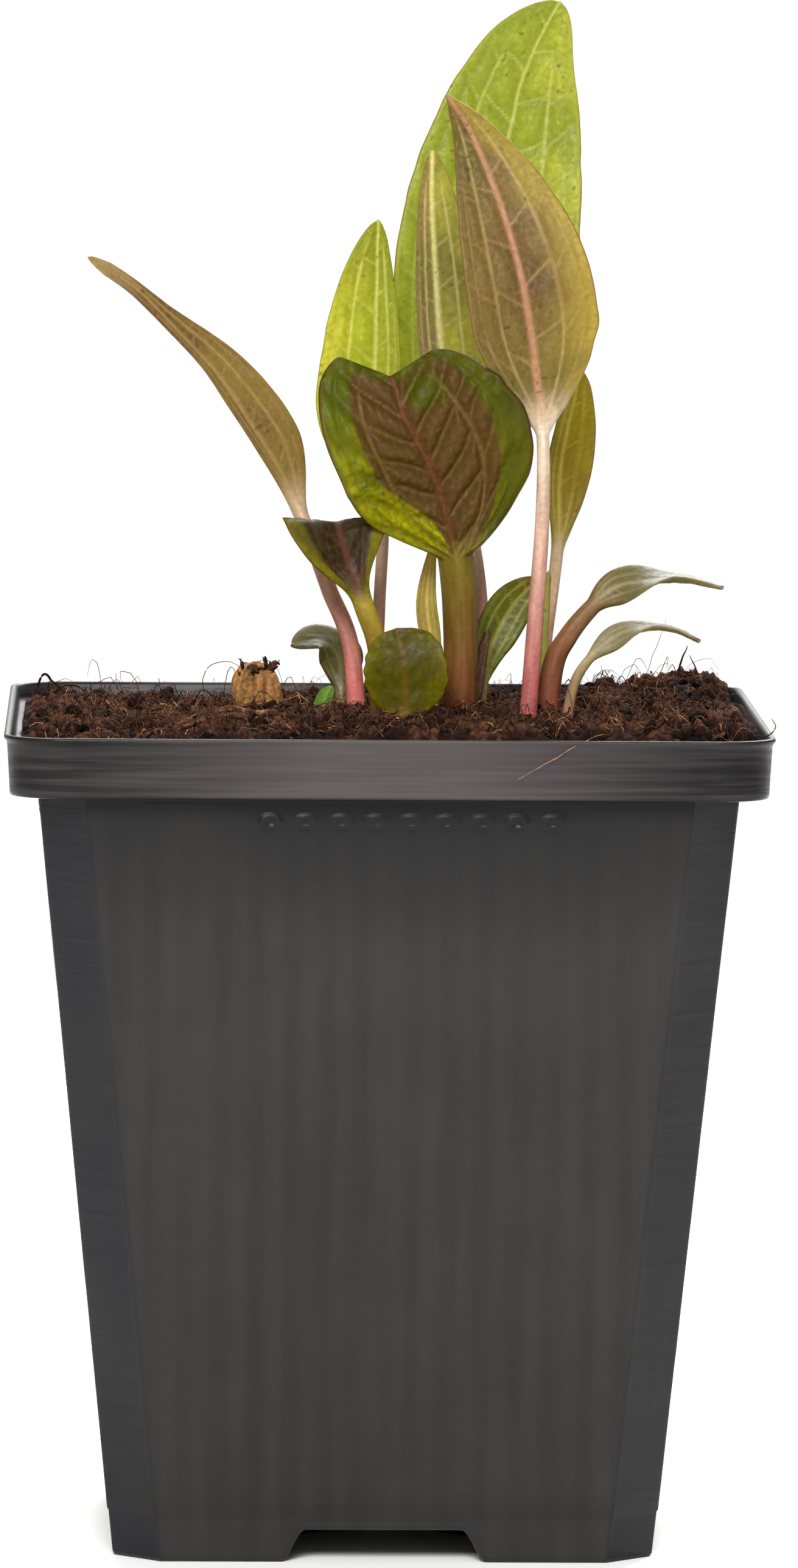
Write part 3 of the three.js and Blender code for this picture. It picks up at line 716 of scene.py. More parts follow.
# %% Vein pattern
def cell_borders(x, y, size, seed):
    """Distance to the border between cells: second nearest less nearest scattered point."""
    base = np.floor(np.stack([x, y], axis=-1) / size)
    nearest = np.full(x.shape, 1e9)
    second = np.full(x.shape, 1e9)
    for dx, dy in np.ndindex(3, 3):
        cell = base + (dx - 1, dy - 1)
        key = np.concatenate([cell, np.full((*x.shape, 1), seed)], axis=-1)
        px = (cell[..., 0] + 0.15 + 0.7 * lattice_values(key, 1)) * size
        py = (cell[..., 1] + 0.15 + 0.7 * lattice_values(key, 2)) * size
        distance = np.hypot(x - px, y - py)
        second = np.minimum(second, np.maximum(distance, nearest))
        nearest = np.minimum(nearest, distance)
    return second - nearest


def long_vein(u, part):
    """Where a long side vein lies, as a part of the half-width, along the blade."""
    return part * (1 - np.exp(-u / 0.07))


def vein_pattern(leaf, x, y, u, half, seed):
    """Strength of the main veins and of the net, and the height of the quilted skin."""
    wobble = 0.25 * noise(np.stack([x, y, 0 * x], axis=-1), 3.5, seed)
    share = np.abs(x) / np.maximum(half, 0.05)
    inner, outer = long_vein(u, 0.5), long_vein(u, 0.8)
    midrib = np.abs(x + 0.4 * wobble)
    first = np.abs(share - inner) * half + np.abs(wobble) * 0.3
    second = np.abs(share - outer) * half + np.abs(wobble) * 0.3
    side = np.where(x < 0, 0.37, 0.0)
    spacing = leaf["veins"]

    def ribs(slope, shift):
        """Distance to the nearest of a row of slanting lines, `spacing` apart along the blade."""
        phase = (y - slope * np.abs(x) + 2 * wobble) / spacing + side + shift
        return np.abs(phase - np.round(phase)) * spacing / np.hypot(1, slope)

    near_ribs = ribs(0.75, 0) + np.where(share > inner, 9, 0)
    far_ribs = ribs(1.1, 0.45) + np.where((share < inner) | (share > outer + 0.03), 9, 0)
    edge_ribs = ribs(0.9, 0.2) + np.where((share < outer) | (share > 0.95), 9, 0)
    cross = np.minimum(np.minimum(near_ribs, far_ribs), edge_ribs)
    net = cell_borders(x + wobble, y, 0.9 + 0.06 * spacing, seed)
    blade = smooth_step(0.0, 0.05, u)
    long_end = 1 - smooth_step(0.84, 0.96, u)
    lines = np.maximum.reduce([
        1.0 * bump(midrib, 0, 0.34 - 0.2 * u),
        0.85 * bump(first, 0, 0.17) * blade * long_end,
        0.5 * bump(second, 0, 0.12) * blade * (1 - smooth_step(0.55, 0.8, u)),
        0.65 * bump(cross, 0, 0.13) * blade * (1 - 0.6 * share),
    ])
    fine = (1 - smooth_step(0.0, 0.22, net)) * blade
    nearest = np.minimum.reduce([midrib, first + 3 * (1 - long_end), cross, second + 0.3])
    swell = 1 - np.exp(-((nearest / (0.2 * spacing)) ** 2))
    return lines, fine, (swell + 0.2 * smooth_step(0, 0.5, net)) * blade


# %% [markdown]
# ### Leaf colours
# A coneflower leaf starts bronze and turns green, patch by patch: the veins, the margin and the
# sunny side change at different times. So the colour is painted on the mesh, from the same
# numbers that made its shape. Each leaf has a plain tone and patches, and a patch is a colour and
# a rule for where it lies. Some patches are painted light and shade instead: on the round leaf,
# painted shade where the leaf behind keeps back the light that comes through, and painted light
# where it comes through; on the front tall leaf, painted light on the right and a painted shadow
# in the middle; on the low left leaf, a painted highlight. `p` holds the place: `u` along the
# blade, `v` across it from -1 to 1, `share` the distance from the midrib, and `patch` slow noise
# from 0 to 1. `light` makes a whole leaf brighter, and `through` is the part of the light that
# passes through its blade.

# %% Leaf tones
PINK_STALK = (196, 104, 98), (226, 204, 176)
COATS = {
    "leaf_back_tall": dict(
        light=0.78, plain=(158, 174, 62), vein=(208, 212, 126), net=(148, 164, 64),
        rim=(170, 164, 84),
        patches=[((188, 198, 86), lambda p: smooth_step(-0.3, 0.8, p.v) * p.patch),
                 ((146, 148, 36), lambda p: 1 - smooth_step(0.05, 0.4, p.u))]),
    "leaf_front_tall": dict(
        light=0.9, plain=(138, 114, 66), vein=(196, 164, 112), net=(150, 128, 70),
        rim=(160, 128, 80),
        midrib=(196, 142, 118),
        # the yellow patch on the right is painted light coming through the blade, and the dark
        # brown patch in the middle is a painted shadow
        patches=[((178, 158, 70), lambda p: smooth_step(0.05, 0.65, p.v + 0.5 * p.patch - 0.3)),
                 ((104, 78, 58), lambda p: bump(p.u, 0.42, 0.2) * bump(p.v, 0.12, 0.4) * 0.9),
                 ((96, 98, 44), lambda p: bump(p.u, 0.8, 0.12) * bump(p.v, -0.5, 0.5) * 0.7),
                 ((124, 112, 52), lambda p: (1 - smooth_step(0.1, 0.4, p.u)) * p.patch)]),
    "leaf_folded": dict(
        light=1.05, plain=(152, 128, 92), vein=(204, 190, 130), net=(150, 140, 80),
        rim=(150, 118, 84),
        midrib=(222, 216, 150),
        patches=[((176, 174, 66), lambda p: smooth_step(-0.05, 0.12, p.v)),
                 ((128, 122, 60), lambda p: smooth_step(0.3, 0.8, p.u) * p.patch)]),
    "leaf_left_tall": dict(
        light=0.98, plain=(174, 184, 54), vein=(214, 216, 126), net=(158, 172, 56),
        rim=(166, 160, 70),
        patches=[((208, 208, 78), lambda p: smooth_step(0.2, -0.8, p.v) * p.patch),
                 ((150, 158, 54), lambda p: smooth_step(0.6, 0.95, p.u))]),
    "leaf_round": dict(
        light=1.15, plain=(168, 166, 10), vein=(98, 98, 20), net=(84, 92, 8), rim=(84, 56, 30),
        midrib=(112, 62, 46), through=0.5,
        # plain green: painted light coming through the blade; the bronze patch with its veins and
        # net: painted shade where the leaf behind keeps that light back; the green panels in it:
        # painted light through a gap
        patches=[((88, 98, 10), lambda p: smooth_step(0.5, 0.9, p.u + 0.2 * p.patch)),
                 ((86, 90, 8), lambda p: smooth_step(0.3, 0.8, p.v)),
                 ((98, 74, 38), lambda p: shade_of_leaf_behind(p)),
                 ((82, 90, 12), lambda p: light_through_gap(p) * shade_of_leaf_behind(p))],
        vein_patches=[((140, 110, 58), lambda p: shade_of_leaf_behind(p))],
        net_patches=[((84, 58, 30), lambda p: shade_of_leaf_behind(p))],
        stalk=((112, 60, 36), (106, 92, 16))),
    "leaf_arching_left": dict(
        light=0.85, plain=(140, 118, 66), vein=(172, 144, 100), net=(150, 128, 80),
        rim=(182, 146, 116),
        patches=[((112, 86, 66), lambda p: p.patch * smooth_step(0.15, 0.4, p.u)),
                 ((182, 160, 134), lambda p: smooth_step(0.75, 0.98, p.u))],
        stalk=((226, 124, 116), (222, 190, 156))),
    "leaf_spoon": dict(
        light=1.2, plain=(138, 130, 8), vein=(88, 58, 38), net=(74, 70, 20), rim=(84, 60, 30),
        midrib=(98, 54, 46),
        patches=[((44, 22, 8),
                  lambda p: smooth_step(0.78, 0.6, p.share) * smooth_step(0, 0.3, p.u)),
                 ((60, 52, 20), lambda p: 0.5 * p.patch)],
        stalk=((104, 62, 30), (156, 134, 44))),
    "leaf_low_left": dict(
        light=0.75, plain=(112, 108, 66), vein=(146, 140, 100), net=(90, 88, 50), rim=(98, 90, 60),
        # the pale patch towards one margin is a painted highlight
        patches=[((160, 158, 126), lambda p: p.patch * smooth_step(-0.2, 0.8, p.v)),
                 ((84, 82, 40), lambda p: smooth_step(0.5, 0.0, p.u))],
        stalk=((120, 84, 56), (140, 122, 84))),
    "leaf_front_small": dict(
        light=1.05, through=0.55, plain=(128, 124, 8), vein=(112, 94, 28), net=(78, 80, 6),
        rim=(138, 118, 30), midrib=(120, 96, 16),
        patches=[((96, 92, 8), lambda p: p.patch), ((146, 140, 12), lambda p: 0.7 * p.v**2)],
        stalk=((160, 110, 70), (140, 110, 50))),
    "leaf_young": dict(
        light=1.2, plain=(180, 158, 80), vein=(204, 186, 120), net=(160, 140, 60),
        rim=(146, 106, 60),
        patches=[((150, 146, 50), lambda p: smooth_step(0, 0.6, p.v))]),
    "leaf_small_right": dict(
        light=0.95, plain=(92, 104, 26), vein=(166, 162, 84), net=(76, 84, 22), rim=(116, 90, 50),
        patches=[((104, 88, 34), lambda p: smooth_step(0.6, 0.95, p.u)),
                 ((140, 140, 60), lambda p: smooth_step(0, -0.8, p.v) * p.patch)],
        stalk=((170, 130, 90), (190, 170, 110))),
    "leaf_right": dict(
        light=0.85, plain=(164, 150, 54), vein=(196, 184, 108), net=(150, 136, 56),
        rim=(160, 122, 72),
        patches=[((138, 112, 60), lambda p: p.patch * 0.7)],
        stalk=((214, 150, 128), (220, 190, 150))),
    "leaf_arching_right": dict(
        light=1.05, plain=(120, 100, 58), vein=(150, 140, 104), net=(110, 96, 60),
        rim=(148, 128, 96),
        through=0.25,
        patches=[((112, 112, 74), lambda p: smooth_step(0.1, 0.5, p.u)),
                 ((166, 162, 146), lambda p: smooth_step(0.6, 0.95, p.u + 0.2 * p.patch))],
        stalk=((136, 66, 50), (128, 96, 56))),
    "leaf_low_right": dict(
        light=0.95, plain=(150, 138, 100), vein=(170, 160, 126), net=(130, 120, 84),
        rim=(160, 140, 110),
        through=0.3,
        patches=[((198, 192, 176), lambda p: p.patch),
                 ((150, 84, 84), lambda p: smooth_step(0.9, 0.97, p.u))],
        stalk=((150, 90, 70), (176, 156, 110))),
    "leaf_spike": dict(
        plain=(146, 144, 62), vein=(170, 166, 90), net=(130, 130, 60), rim=(140, 120, 60),
        patches=[], stalk=((150, 130, 80), (150, 146, 66))),
    "withered_sheath": dict(
        plain=(92, 64, 46), vein=(130, 100, 70), net=(70, 48, 34), rim=(80, 54, 38), through=0.1,
        patches=[((60, 40, 28), lambda p: p.patch)], stalk=((84, 56, 40), (96, 68, 48))),
    "weed_seedling": dict(
        plain=(92, 136, 56), vein=(140, 180, 90), net=(84, 126, 50), rim=(90, 130, 60),
        patches=[], stalk=((120, 140, 60), (110, 150, 60))),
}


def shade_of_leaf_behind(p):
    """Painted shade on the round leaf, where the leaf behind keeps back the light that comes
    through:
    inside the long side veins, wider on the right.
    """
    limit = np.where(p.v < 0, 0.2 + 0.42 * smooth_step(0.1, 0.6, p.u), 0.6 + 0.16 * p.u)
    return smooth_step(limit + 0.02, limit - 0.02, p.share) * smooth_step(1.0, 0.93, p.u)


def light_through_gap(p):
    """Painted light near the tip: green panels in the painted shade, where light comes through a
    gap in the leaf behind.
    """
    right = bump(p.u, 0.86, 0.1) * bump(p.v, 0.3, 0.26)
    return smooth_step(0.45, 0.6, right * (0.7 + 0.6 * p.patch))


# %% Leaf paint
LEAF_LIGHT = 1.05  # how many times brighter than its own colour a leaf looks in this studio


def tone(rgb):
    """A screen colour as an array of linear light."""
    return np.array(color(*rgb)[:3])


def mixed(first, second, amount):
    """Colours: first where amount is 0, second where it is 1."""
    amount = np.clip(amount, 0, 1)[..., None]
    return first * (1 - amount) + second * amount


def layered(base, patches, p):
    """A plain colour with each patch laid over it in turn."""
    tint = tone(base) * np.ones((*p.u.shape, 1))
    for rgb, where in patches:
        tint = mixed(tint, tone(rgb), where(p))
    return tint


def leaf_tint(coat, p):
    """Plain tone and patches, painted shade in the furrows, then net, veins, margin and stalk."""
    tint = layered(coat["plain"], coat["patches"], p)
    # painted shade: the skin is painted darker in the furrows between the swellings
    tint = tint * (0.7 + 0.3 * np.clip(p.swell, 0, 1))[..., None]
    net = layered(coat["net"], coat.get("net_patches", ()), p)
    tint = mixed(tint, net, 0.6 * p.fine)
    vein = layered(coat["vein"], coat.get("vein_patches", ()), p)
    tint = mixed(tint, vein, p.lines)
    if "midrib" in coat:
        tint = mixed(tint, tone(coat["midrib"]), bump(p.x, 0, 0.5 - 0.25 * p.u))
    tint = mixed(tint, tone(coat["rim"]), 0.65 * p.edge)
    specks = smooth_step(0.78, 0.84, p.speck) * smooth_step(0.7, 0.8, p.patch)
    tint = mixed(tint, tone((64, 50, 36)), 0.7 * specks)
    foot, top = coat.get("stalk", PINK_STALK)
    stem = mixed(tone(foot), tone(top), p.height)
    stem = stem * (0.9 + 0.2 * p.streak)[..., None]
    return mixed(tint, stem, p.on_stalk) * coat.get("light", 1) / LEAF_LIGHT


# %% Leaf skin
UNDERSIDE = (150, 148, 110)


def tip_reach(leaf, u, v, half):
    """How far points near the tip move along the blade, in mm: the margin runs past the midrib, so
    that a notch is left, and the left side's lobe past that."""
    reach = leaf.get("notch", 0) * np.clip((u - 0.75) / 0.25, 0, 1) ** 2 * np.abs(v)
    reach = reach + leaf.get("lobe", 0) * np.clip(-v, 0, 1) * smooth_step(0.55, 0.95, u)
    return reach * np.clip(half / 2.5, 0, 1)


def leaf_paint(coat, p):
    """Tint and translucent share for the upper skin, then for the paler lower one."""
    tint = leaf_tint(coat, p)
    share = coat.get("through", 0.42) * (1 - p.on_stalk) + 0.1
    upper_paint = np.concatenate([tint, share[..., None]], axis=-1)
    under = mixed(tint, tone(UNDERSIDE) / LEAF_LIGHT, 0.3 * (1 - p.on_stalk))
    lower_paint = np.concatenate([under, share[..., None]], axis=-1)
    return np.concatenate([upper_paint, lower_paint[:, -2:0:-1]], axis=1)


def leaf_surface(name, leaf):
    """Rings round the blade, upper skin then lower skin, and the places that its paint needs."""
    seed = sum(map(ord, name)) % 97
    length = midrib_frame(leaf, 60)[-1]
    rows = int(np.clip(length / LEAF_CELL, 60, 330))
    columns = int(np.clip(2 * max(leaf["half"]) / LEAF_CELL, 15, 95)) | 1
    place, along, across, out, s, u, length = midrib_frame(leaf, rows)
    v = np.linspace(-1, 1, columns)[None, :]
    full = blade_outline(leaf, u)
    stalk = np.interp(s, [0, leaf["start"]], leaf["stalk"])
    stalk_end = stalk * np.sqrt(np.clip((1 - s) / TIP_CAP, 0, 1))
    sides = np.where(v < 0, leaf["half"][0], leaf["half"][1])
    half = np.hypot(full * sides, stalk_end)
    y = s * length * np.ones_like(v)
    margin = np.stack([np.sign(v) * np.ones_like(y), y, 0 * y], axis=-1)
    ripple = 0.02 * noise(margin, 2.2, seed) + leaf.get("scallop", 0) * np.sin(y * 3.6)
    half = half * (1 + ripple * np.abs(v) ** 3 * smooth_step(0.02, 0.2, u))
    x = half * v
    flat = np.stack([x, y, 0 * y], axis=-1)
    lines, fine, swell = vein_pattern(leaf, x, y, u, half, seed)
    sway = 0.3 * noise(flat, 6.5, seed + 5) * full * np.abs(v)
    rise = half * full * (leaf["fold"] * np.abs(v) + leaf["cup"] * v**2) + sway
    pimples = PIMPLE_RISE * rough(flat, 1.1, 2, seed + 9)
    relief = (leaf["quilt"] * swell + pimples * (u > 0)) * (1 - np.abs(v) ** 6)
    reach = tip_reach(leaf, u, v, half)
    blade = np.clip(3 * u, 0, 1)
    body = stalk * (1 - blade) * np.sqrt(1 - v**2)
    rib = RIB_RISE * bump(x, 0, 0.45) * (1 - 0.7 * u) + 0.07 * lines
    thin = BLADE_THICKNESS / 2 * (1 - np.abs(v) ** 10) * blade
    top = rise + relief + body + thin + LINE_RISE * lines * blade
    bottom = rise + relief - body - thin - rib * blade * (1 - v**2)
    base = place[:, None] + across[:, None] * x[..., None] + along[:, None] * reach[..., None]
    upper = base + out[:, None] * top[..., None]
    lower = base + out[:, None] * bottom[..., None]
    rings = np.concatenate([upper, lower[:, -2:0:-1]], axis=1)
    wide = np.ones_like(y)
    p = SimpleNamespace(
        x=x, u=u * wide, v=v * wide, share=np.abs(v) * wide, lines=lines, fine=fine, swell=swell,
        patch=smooth_step(-0.45, 0.45, rough(flat, 7, 3, seed + 2)),
        speck=noise(flat, 0.5, seed + 3), streak=noise(flat * [1, 0.12, 1], 0.35, seed),
        edge=smooth_step(0.93, 0.99, np.abs(v)) * wide,
        on_stalk=1 - smooth_step(0.0, 0.16, u) * wide,
        height=np.interp(s, [0.1, leaf["start"]], [0, 1]) * wide)
    return rings, p, place[0], place[-1] + along[-1] * 0.1


def add_leaf(name, leaf, coat, material):
    """One leaf as a closed skin that stands for its CAD node."""
    rings, p, foot, tip = leaf_surface(name, leaf)
    paint = leaf_paint(coat, p)
    points, faces = closed_skin(rings, foot, tip)
    flat = np.concatenate([paint.reshape(-1, 4), paint[0].mean(0)[None], paint[-1].mean(0)[None]])
    make_piece(name + "_skin", points, faces, material, [name], flat)
    return len(faces)


# %% [markdown]
# A leaf is thin enough for light to come through, warmer than the light that bounces off. A
# Translucent shader mixed with the Principled one does that; the paint's alpha says how much.
# Fine cells and pores are too small for the mesh, so they are noise in the material.

# %% Leaf materials
SLOTS = {part["node"]: part["material_slot"] for part in frame["record"]["subparts"]}
GLOW = (1.2, 1.12, 0.5, 1)  # what passing through a leaf does to its colour


def leaf_skin(name, gloss, cell_depth=0.2):
    """Painted colour with fine cells, satin gloss, pores, and light that comes through."""
    g = Graph(name)
    paint = g.add("ShaderNodeAttribute", {"attribute_name": "paint"})
    tint, share = paint.outputs["Color"], paint.outputs["Alpha"]
    cells = g.ramp(g.grain(1900, detail=3), 0.35, 0.65)
    shade = g.blend(g.number("MULTIPLY", cells, cell_depth), tint, (0.02, 0.015, 0.005, 1))
    g.put(g.shader.inputs["Base Color"], shade)
    g.put(g.shader.inputs["Roughness"], g.number("ADD", g.number("MULTIPLY", cells, 0.14), gloss))
    g.shader.inputs["Specular IOR Level"].default_value = 0.22
    normal = g.bumps(g.grain(2600, detail=2), 0.3, 0.0001)
    g.put(g.shader.inputs["Normal"], normal)
    bright = g.add("ShaderNodeGamma", Color=shade, Gamma=0.6).outputs[0]
    behind = g.blend(1.0, bright, GLOW, "MULTIPLY")
    light = g.add("ShaderNodeBsdfTranslucent", Color=behind, Normal=normal)
    mix = g.add("ShaderNodeMixShader", Fac=share)
    g.put(mix.inputs[1], g.shader.outputs[0])
    g.put(mix.inputs[2], light.outputs[0])
    g.put(g.output.inputs["Surface"], mix.outputs[0])
    return g.material


LEAF_SKINS = {
    "green_leaf": leaf_skin("green_leaf_skin", 0.34),
    "bronze_leaf": leaf_skin("bronze_leaf_skin", 0.4),
    "dry_sheath": leaf_skin("dry_sheath_skin", 0.7, cell_depth=0.45),
}
leaf_faces = sum(add_leaf(name, leaf, COATS[name], LEAF_SKINS[SLOTS[name]])
                 for name, leaf in LEAVES.items())
print("leaves:", leaf_faces, "faces")

# %% [markdown]
# ## The soil
# Potting soil is peat: a dark, crumbly sponge full of bark, fibres and fine roots. Three layers
# make it. A field of heights fills the pot and follows the CAD model's mounds, with painted shade
# in its hollows and paler crumb tops. Rough flakes lie loose on it, and thin fibres run over and
# out of it. Each flake has only a few dozen faces.

# %% Soil heights
SOIL_LEVEL = POT_HEIGHT - 1.2
SOIL_HALF, SOIL_FOOT = 43.1, 5
SOIL_GRID = 290
SOIL_SKIRT = ((0.2, SOIL_HALF), (0.15, 40.4))  # height over the ledge and half-width, at the top
CORNER_START, CORNER_PULL = 0.86, 0.055  # where a corner is pulled in, and how far
HUMPS = [  # middle x, middle y, height, spread
    (-38, -36, -2.2, 9),
    (38, 37, 2.6, 8),
    (40, -30, 1, 9),
    (10, -6, 0.9, 14),
    (-16, 0, 0.8, 6),
    (-22, 41, -1.3, 12),
]


def soil_level(x, y):
    """The broad shape of the soil: a slight slope, a few humps, and lumps of two sizes."""
    lumps = 0.3 * np.sin(0.55 * x + 1) * np.cos(0.6 * y) + 0.2 * np.sin(0.9 * x - 0.8 * y)
    z = SOIL_LEVEL + 0.6 - 0.02 * y + lumps
    for middle_x, middle_y, height, spread in HUMPS:
        z = z + height * bump(np.hypot(x - middle_x, y - middle_y), 0, 1.41 * spread)
    return z


def soil_crumbs(x, y):
    """Crumbs: ridged noise of three sizes, which makes rounded tops and sharp hollows."""
    flat = np.stack([x, y, 0 * x], axis=-1)
    clods = 1 - 2 * np.abs(rough(flat, 6, 2, seed=3))
    crumbs = 1 - 2 * np.abs(rough(flat, 2.4, 3, seed=8))
    return 0.95 * clods + 0.9 * crumbs + 0.35 * rough(flat, 0.7, 2, seed=12) - 0.6


def soil_height(x, y):
    """The broad shape with crumbs on it, which sink towards the wall of the pot."""
    edge = np.maximum(np.abs(x), np.abs(y))
    wall = smooth_step(SOIL_HALF - 2.5, SOIL_HALF, edge)
    return soil_level(x, y) + soil_crumbs(x, y) * (1 - 0.5 * wall) - 0.7 * wall


# %% Soil surface
def add_soil(material):
    """A square grid pulled in at the corners, then a skirt down the wall and a flat bottom."""
    steps = np.linspace(-1, 1, SOIL_GRID)
    a, b = np.meshgrid(steps, steps, indexing="ij")
    ring = np.maximum(np.abs(a), np.abs(b))
    inner = np.minimum(np.abs(a), np.abs(b))
    room = 1 - CORNER_START
    corner = (np.clip((inner - CORNER_START) / room, 0, 1)
              * np.clip((ring - CORNER_START) / room, 0, 1))
    shrink = 1 - CORNER_PULL * corner**1.2
    x, y = SOIL_HALF * a * shrink, SOIL_HALF * b * shrink
    top = np.stack([x, y, np.maximum(soil_height(x, y), LEDGE + 0.25)], axis=-1)
    index = np.arange(SOIL_GRID**2).reshape(SOIL_GRID, SOIL_GRID)
    border = np.concatenate([index[:-1, 0], index[-1, :-1], index[:0:-1, -1], index[0, :0:-1]])
    rim = top.reshape(-1, 3)[border]
    levels = [(LEDGE + rise, half) for rise, half in SOIL_SKIRT] + [(60, 36.9), (SOIL_FOOT, 31.2)]
    skirt = np.array([rim * [half / SOIL_HALF, half / SOIL_HALF, 0] + [0, 0, z]
                      for z, half in levels])
    points = np.concatenate([top.reshape(-1, 3), skirt.reshape(-1, 3), [[0, 0, SOIL_FOOT]]])
    rings = np.concatenate([border[None], SOIL_GRID**2 + np.arange(skirt[..., 0].size)
                            .reshape(len(skirt), -1)])
    a, b, c, d = index[:-1, :-1], index[1:, :-1], index[1:, 1:], index[:-1, 1:]
    faces = np.stack([a, b, c, d], axis=-1).reshape(-1, 4).tolist()
    for upper, lower in zip(rings[:-1], rings[1:]):
        faces += np.stack([upper, lower, np.roll(lower, -1), np.roll(upper, -1)], axis=-1).tolist()
    middle = np.full(len(border), len(points) - 1)
    faces += np.stack([rings[-1], middle, np.roll(rings[-1], -1)], axis=-1).tolist()
    # painted light and shade: the crumbs' tops are painted paler and their hollows darker
    tones = smooth_step(-1.1, 1.2, soil_crumbs(points[:, 0], points[:, 1]))
    make_piece("soil_bed", points, faces, material, ["potting_soil"], gray_paint(tones))
    print("soil bed:", len(faces), "faces")


def gray_paint(tones):
    """One tone for each point, as a colour with full alpha."""
    return np.stack([tones, tones, tones, np.ones_like(tones)], axis=-1)


# %% Flakes
def flake_template():
    """A ball of 80 faces, to be squashed and torn into a flake."""
    ball = bmesh.new()
    bmesh.ops.create_icosphere(ball, subdivisions=2, radius=1)
    points = np.array([v.co for v in ball.verts])
    faces = np.array([[v.index for v in f.verts] for f in ball.faces])
    ball.free()
    return points, faces


def random_turns(count, rng):
    """Random rotations, from unit quaternions, as 3 by 3 matrices."""
    w, x, y, z = unit(rng.normal(size=(count, 4))).T
    rows = [[1 - 2 * (y * y + z * z), 2 * (x * y - w * z), 2 * (x * z + w * y)],
            [2 * (x * y + w * z), 1 - 2 * (x * x + z * z), 2 * (y * z - w * x)],
            [2 * (x * z - w * y), 2 * (y * z + w * x), 1 - 2 * (x * x + y * y)]]
    return np.array(rows).transpose(2, 0, 1)


def soil_places(count, rng, reach=0.965):
    """Random places on the soil, with the height of the soil there."""
    x, y = rng.uniform(-reach, reach, (2, count)) * SOIL_HALF
    return np.stack([x, y, soil_height(x, y)], axis=-1)


def add_flakes(material, count=2200):
    """Balls stretched to chips and torn by noise, half sunk in the soil."""
    rng = np.random.default_rng(11)
    points, faces = flake_template()
    size = 0.25 + 0.75 * rng.random(count) ** 4
    stretch = rng.uniform(0.25, 1.5, (count, 1, 3))
    own = 9.0 * np.arange(count)[:, None, None]
    dents = 1 + 0.75 * noise(points[None] * 1.3 + own, 0.8)
    flakes = points[None] * dents[..., None] * stretch * size[:, None, None]
    flakes = np.einsum("nij,npj->npi", random_turns(count, rng), flakes)
    place = soil_places(count, rng) + [0, 0, 0.12]
    flakes += place[:, None]
    tones = np.repeat(rng.random(count), len(points))
    all_faces = faces[None] + len(points) * np.arange(count)[:, None, None]
    make_piece("soil_flakes", flakes.reshape(-1, 3), all_faces.reshape(-1, 3).tolist(), material,
               paint=gray_paint(tones))
    print("soil flakes:", count)


# %% Fibres
def tubes(paths, radii, sides=4):
    """Thin tubes along many paths at once: a small ring at each point, closed at both ends."""
    count, steps = paths.shape[:2]
    along = unit(np.gradient(paths, axis=1))
    helper = np.where(np.abs(along[..., 2:]) > 0.8, [1.0, 0, 0], [0, 0, 1.0])
    side = unit(np.cross(along, helper))
    other = np.cross(along, side)
    angle = np.linspace(0, 2 * np.pi, sides, endpoint=False)[:, None]
    taper = 0.3 + 0.7 * np.sin(np.linspace(0.3, np.pi - 0.12, steps))
    radius = (radii[:, None] * taper)[..., None, None]
    points = paths[:, :, None] + radius * (side[:, :, None] * np.cos(angle)
                                           + other[:, :, None] * np.sin(angle))
    first = steps * sides * np.arange(count)[:, None, None]
    quads = (grid_faces(steps, sides, wrap=True)[None] + first).reshape(-1, 4)
    ends = np.array([np.arange(sides)[::-1], np.arange((steps - 1) * sides, steps * sides)])
    caps = (ends[None] + first).reshape(-1, sides)
    return points.reshape(-1, 3), quads.tolist() + caps.tolist()


def fibre_paths(count, rng, length, lift, steps=8):
    """Bent hairs: each starts on the soil and wanders, rising by `lift` and coming down again."""
    start = soil_places(count, rng, reach=0.93)
    heading, bend = rng.uniform(0, 2 * np.pi, count), rng.normal(0, 1.2, count)
    t = np.linspace(0, 1, steps)[None]
    step = (length * rng.uniform(0.4, 1.3, count))[:, None] / steps
    turn = heading[:, None] + bend[:, None] * t
    limit = SOIL_HALF - 1.0
    x = np.clip(start[:, :1] + np.cumsum(np.cos(turn) * step, axis=1), -limit, limit)
    y = np.clip(start[:, 1:2] + np.cumsum(np.sin(turn) * step, axis=1), -limit, limit)
    rise = lift * np.abs(rng.normal(0, 1, count))[:, None] * np.sin(np.pi * t * 0.8)
    return np.stack([x, y, soil_height(x, y) + 0.1 + rise], axis=-1)


FIBRES = [  # how many, their length, lift and radius
    (2700, 3.6, 0.4, 0.085),
    (1150, 5.5, 0.9, 0.075),
    (240, 7.0, 1.8, 0.055),
]
HAIRS, HAIR_LENGTH, HAIR_LIFT, HAIR_RADII, HAIR_TONE = 700, 6.5, 1.2, (0.025, 0.06), 0.7


def add_fibres(material):
    """Short dark fibres close to the soil, and longer pale ones that stand out of it."""
    rng = np.random.default_rng(23)
    paths = [fibre_paths(count, rng, length, lift) for count, length, lift, _ in FIBRES]
    radii = [radius * (0.4 + rng.random(count) ** 2) for count, _, _, radius in FIBRES]
    paths, radii = np.concatenate(paths), np.concatenate(radii)
    points, faces = tubes(paths, radii, sides=3)
    tones = np.repeat(rng.random(len(paths)), len(points) // len(paths))
    make_piece("soil_fibres", points, faces, material, paint=gray_paint(tones))
    hairs = fibre_paths(HAIRS, rng, HAIR_LENGTH, HAIR_LIFT)
    points, faces = tubes(hairs, rng.uniform(*HAIR_RADII, len(hairs)), sides=3)
    tones = np.full(len(points), HAIR_TONE)
    make_piece("soil_hairs", points, faces, material, paint=gray_paint(tones))
    print("soil fibres and hairs:", len(paths), len(hairs))


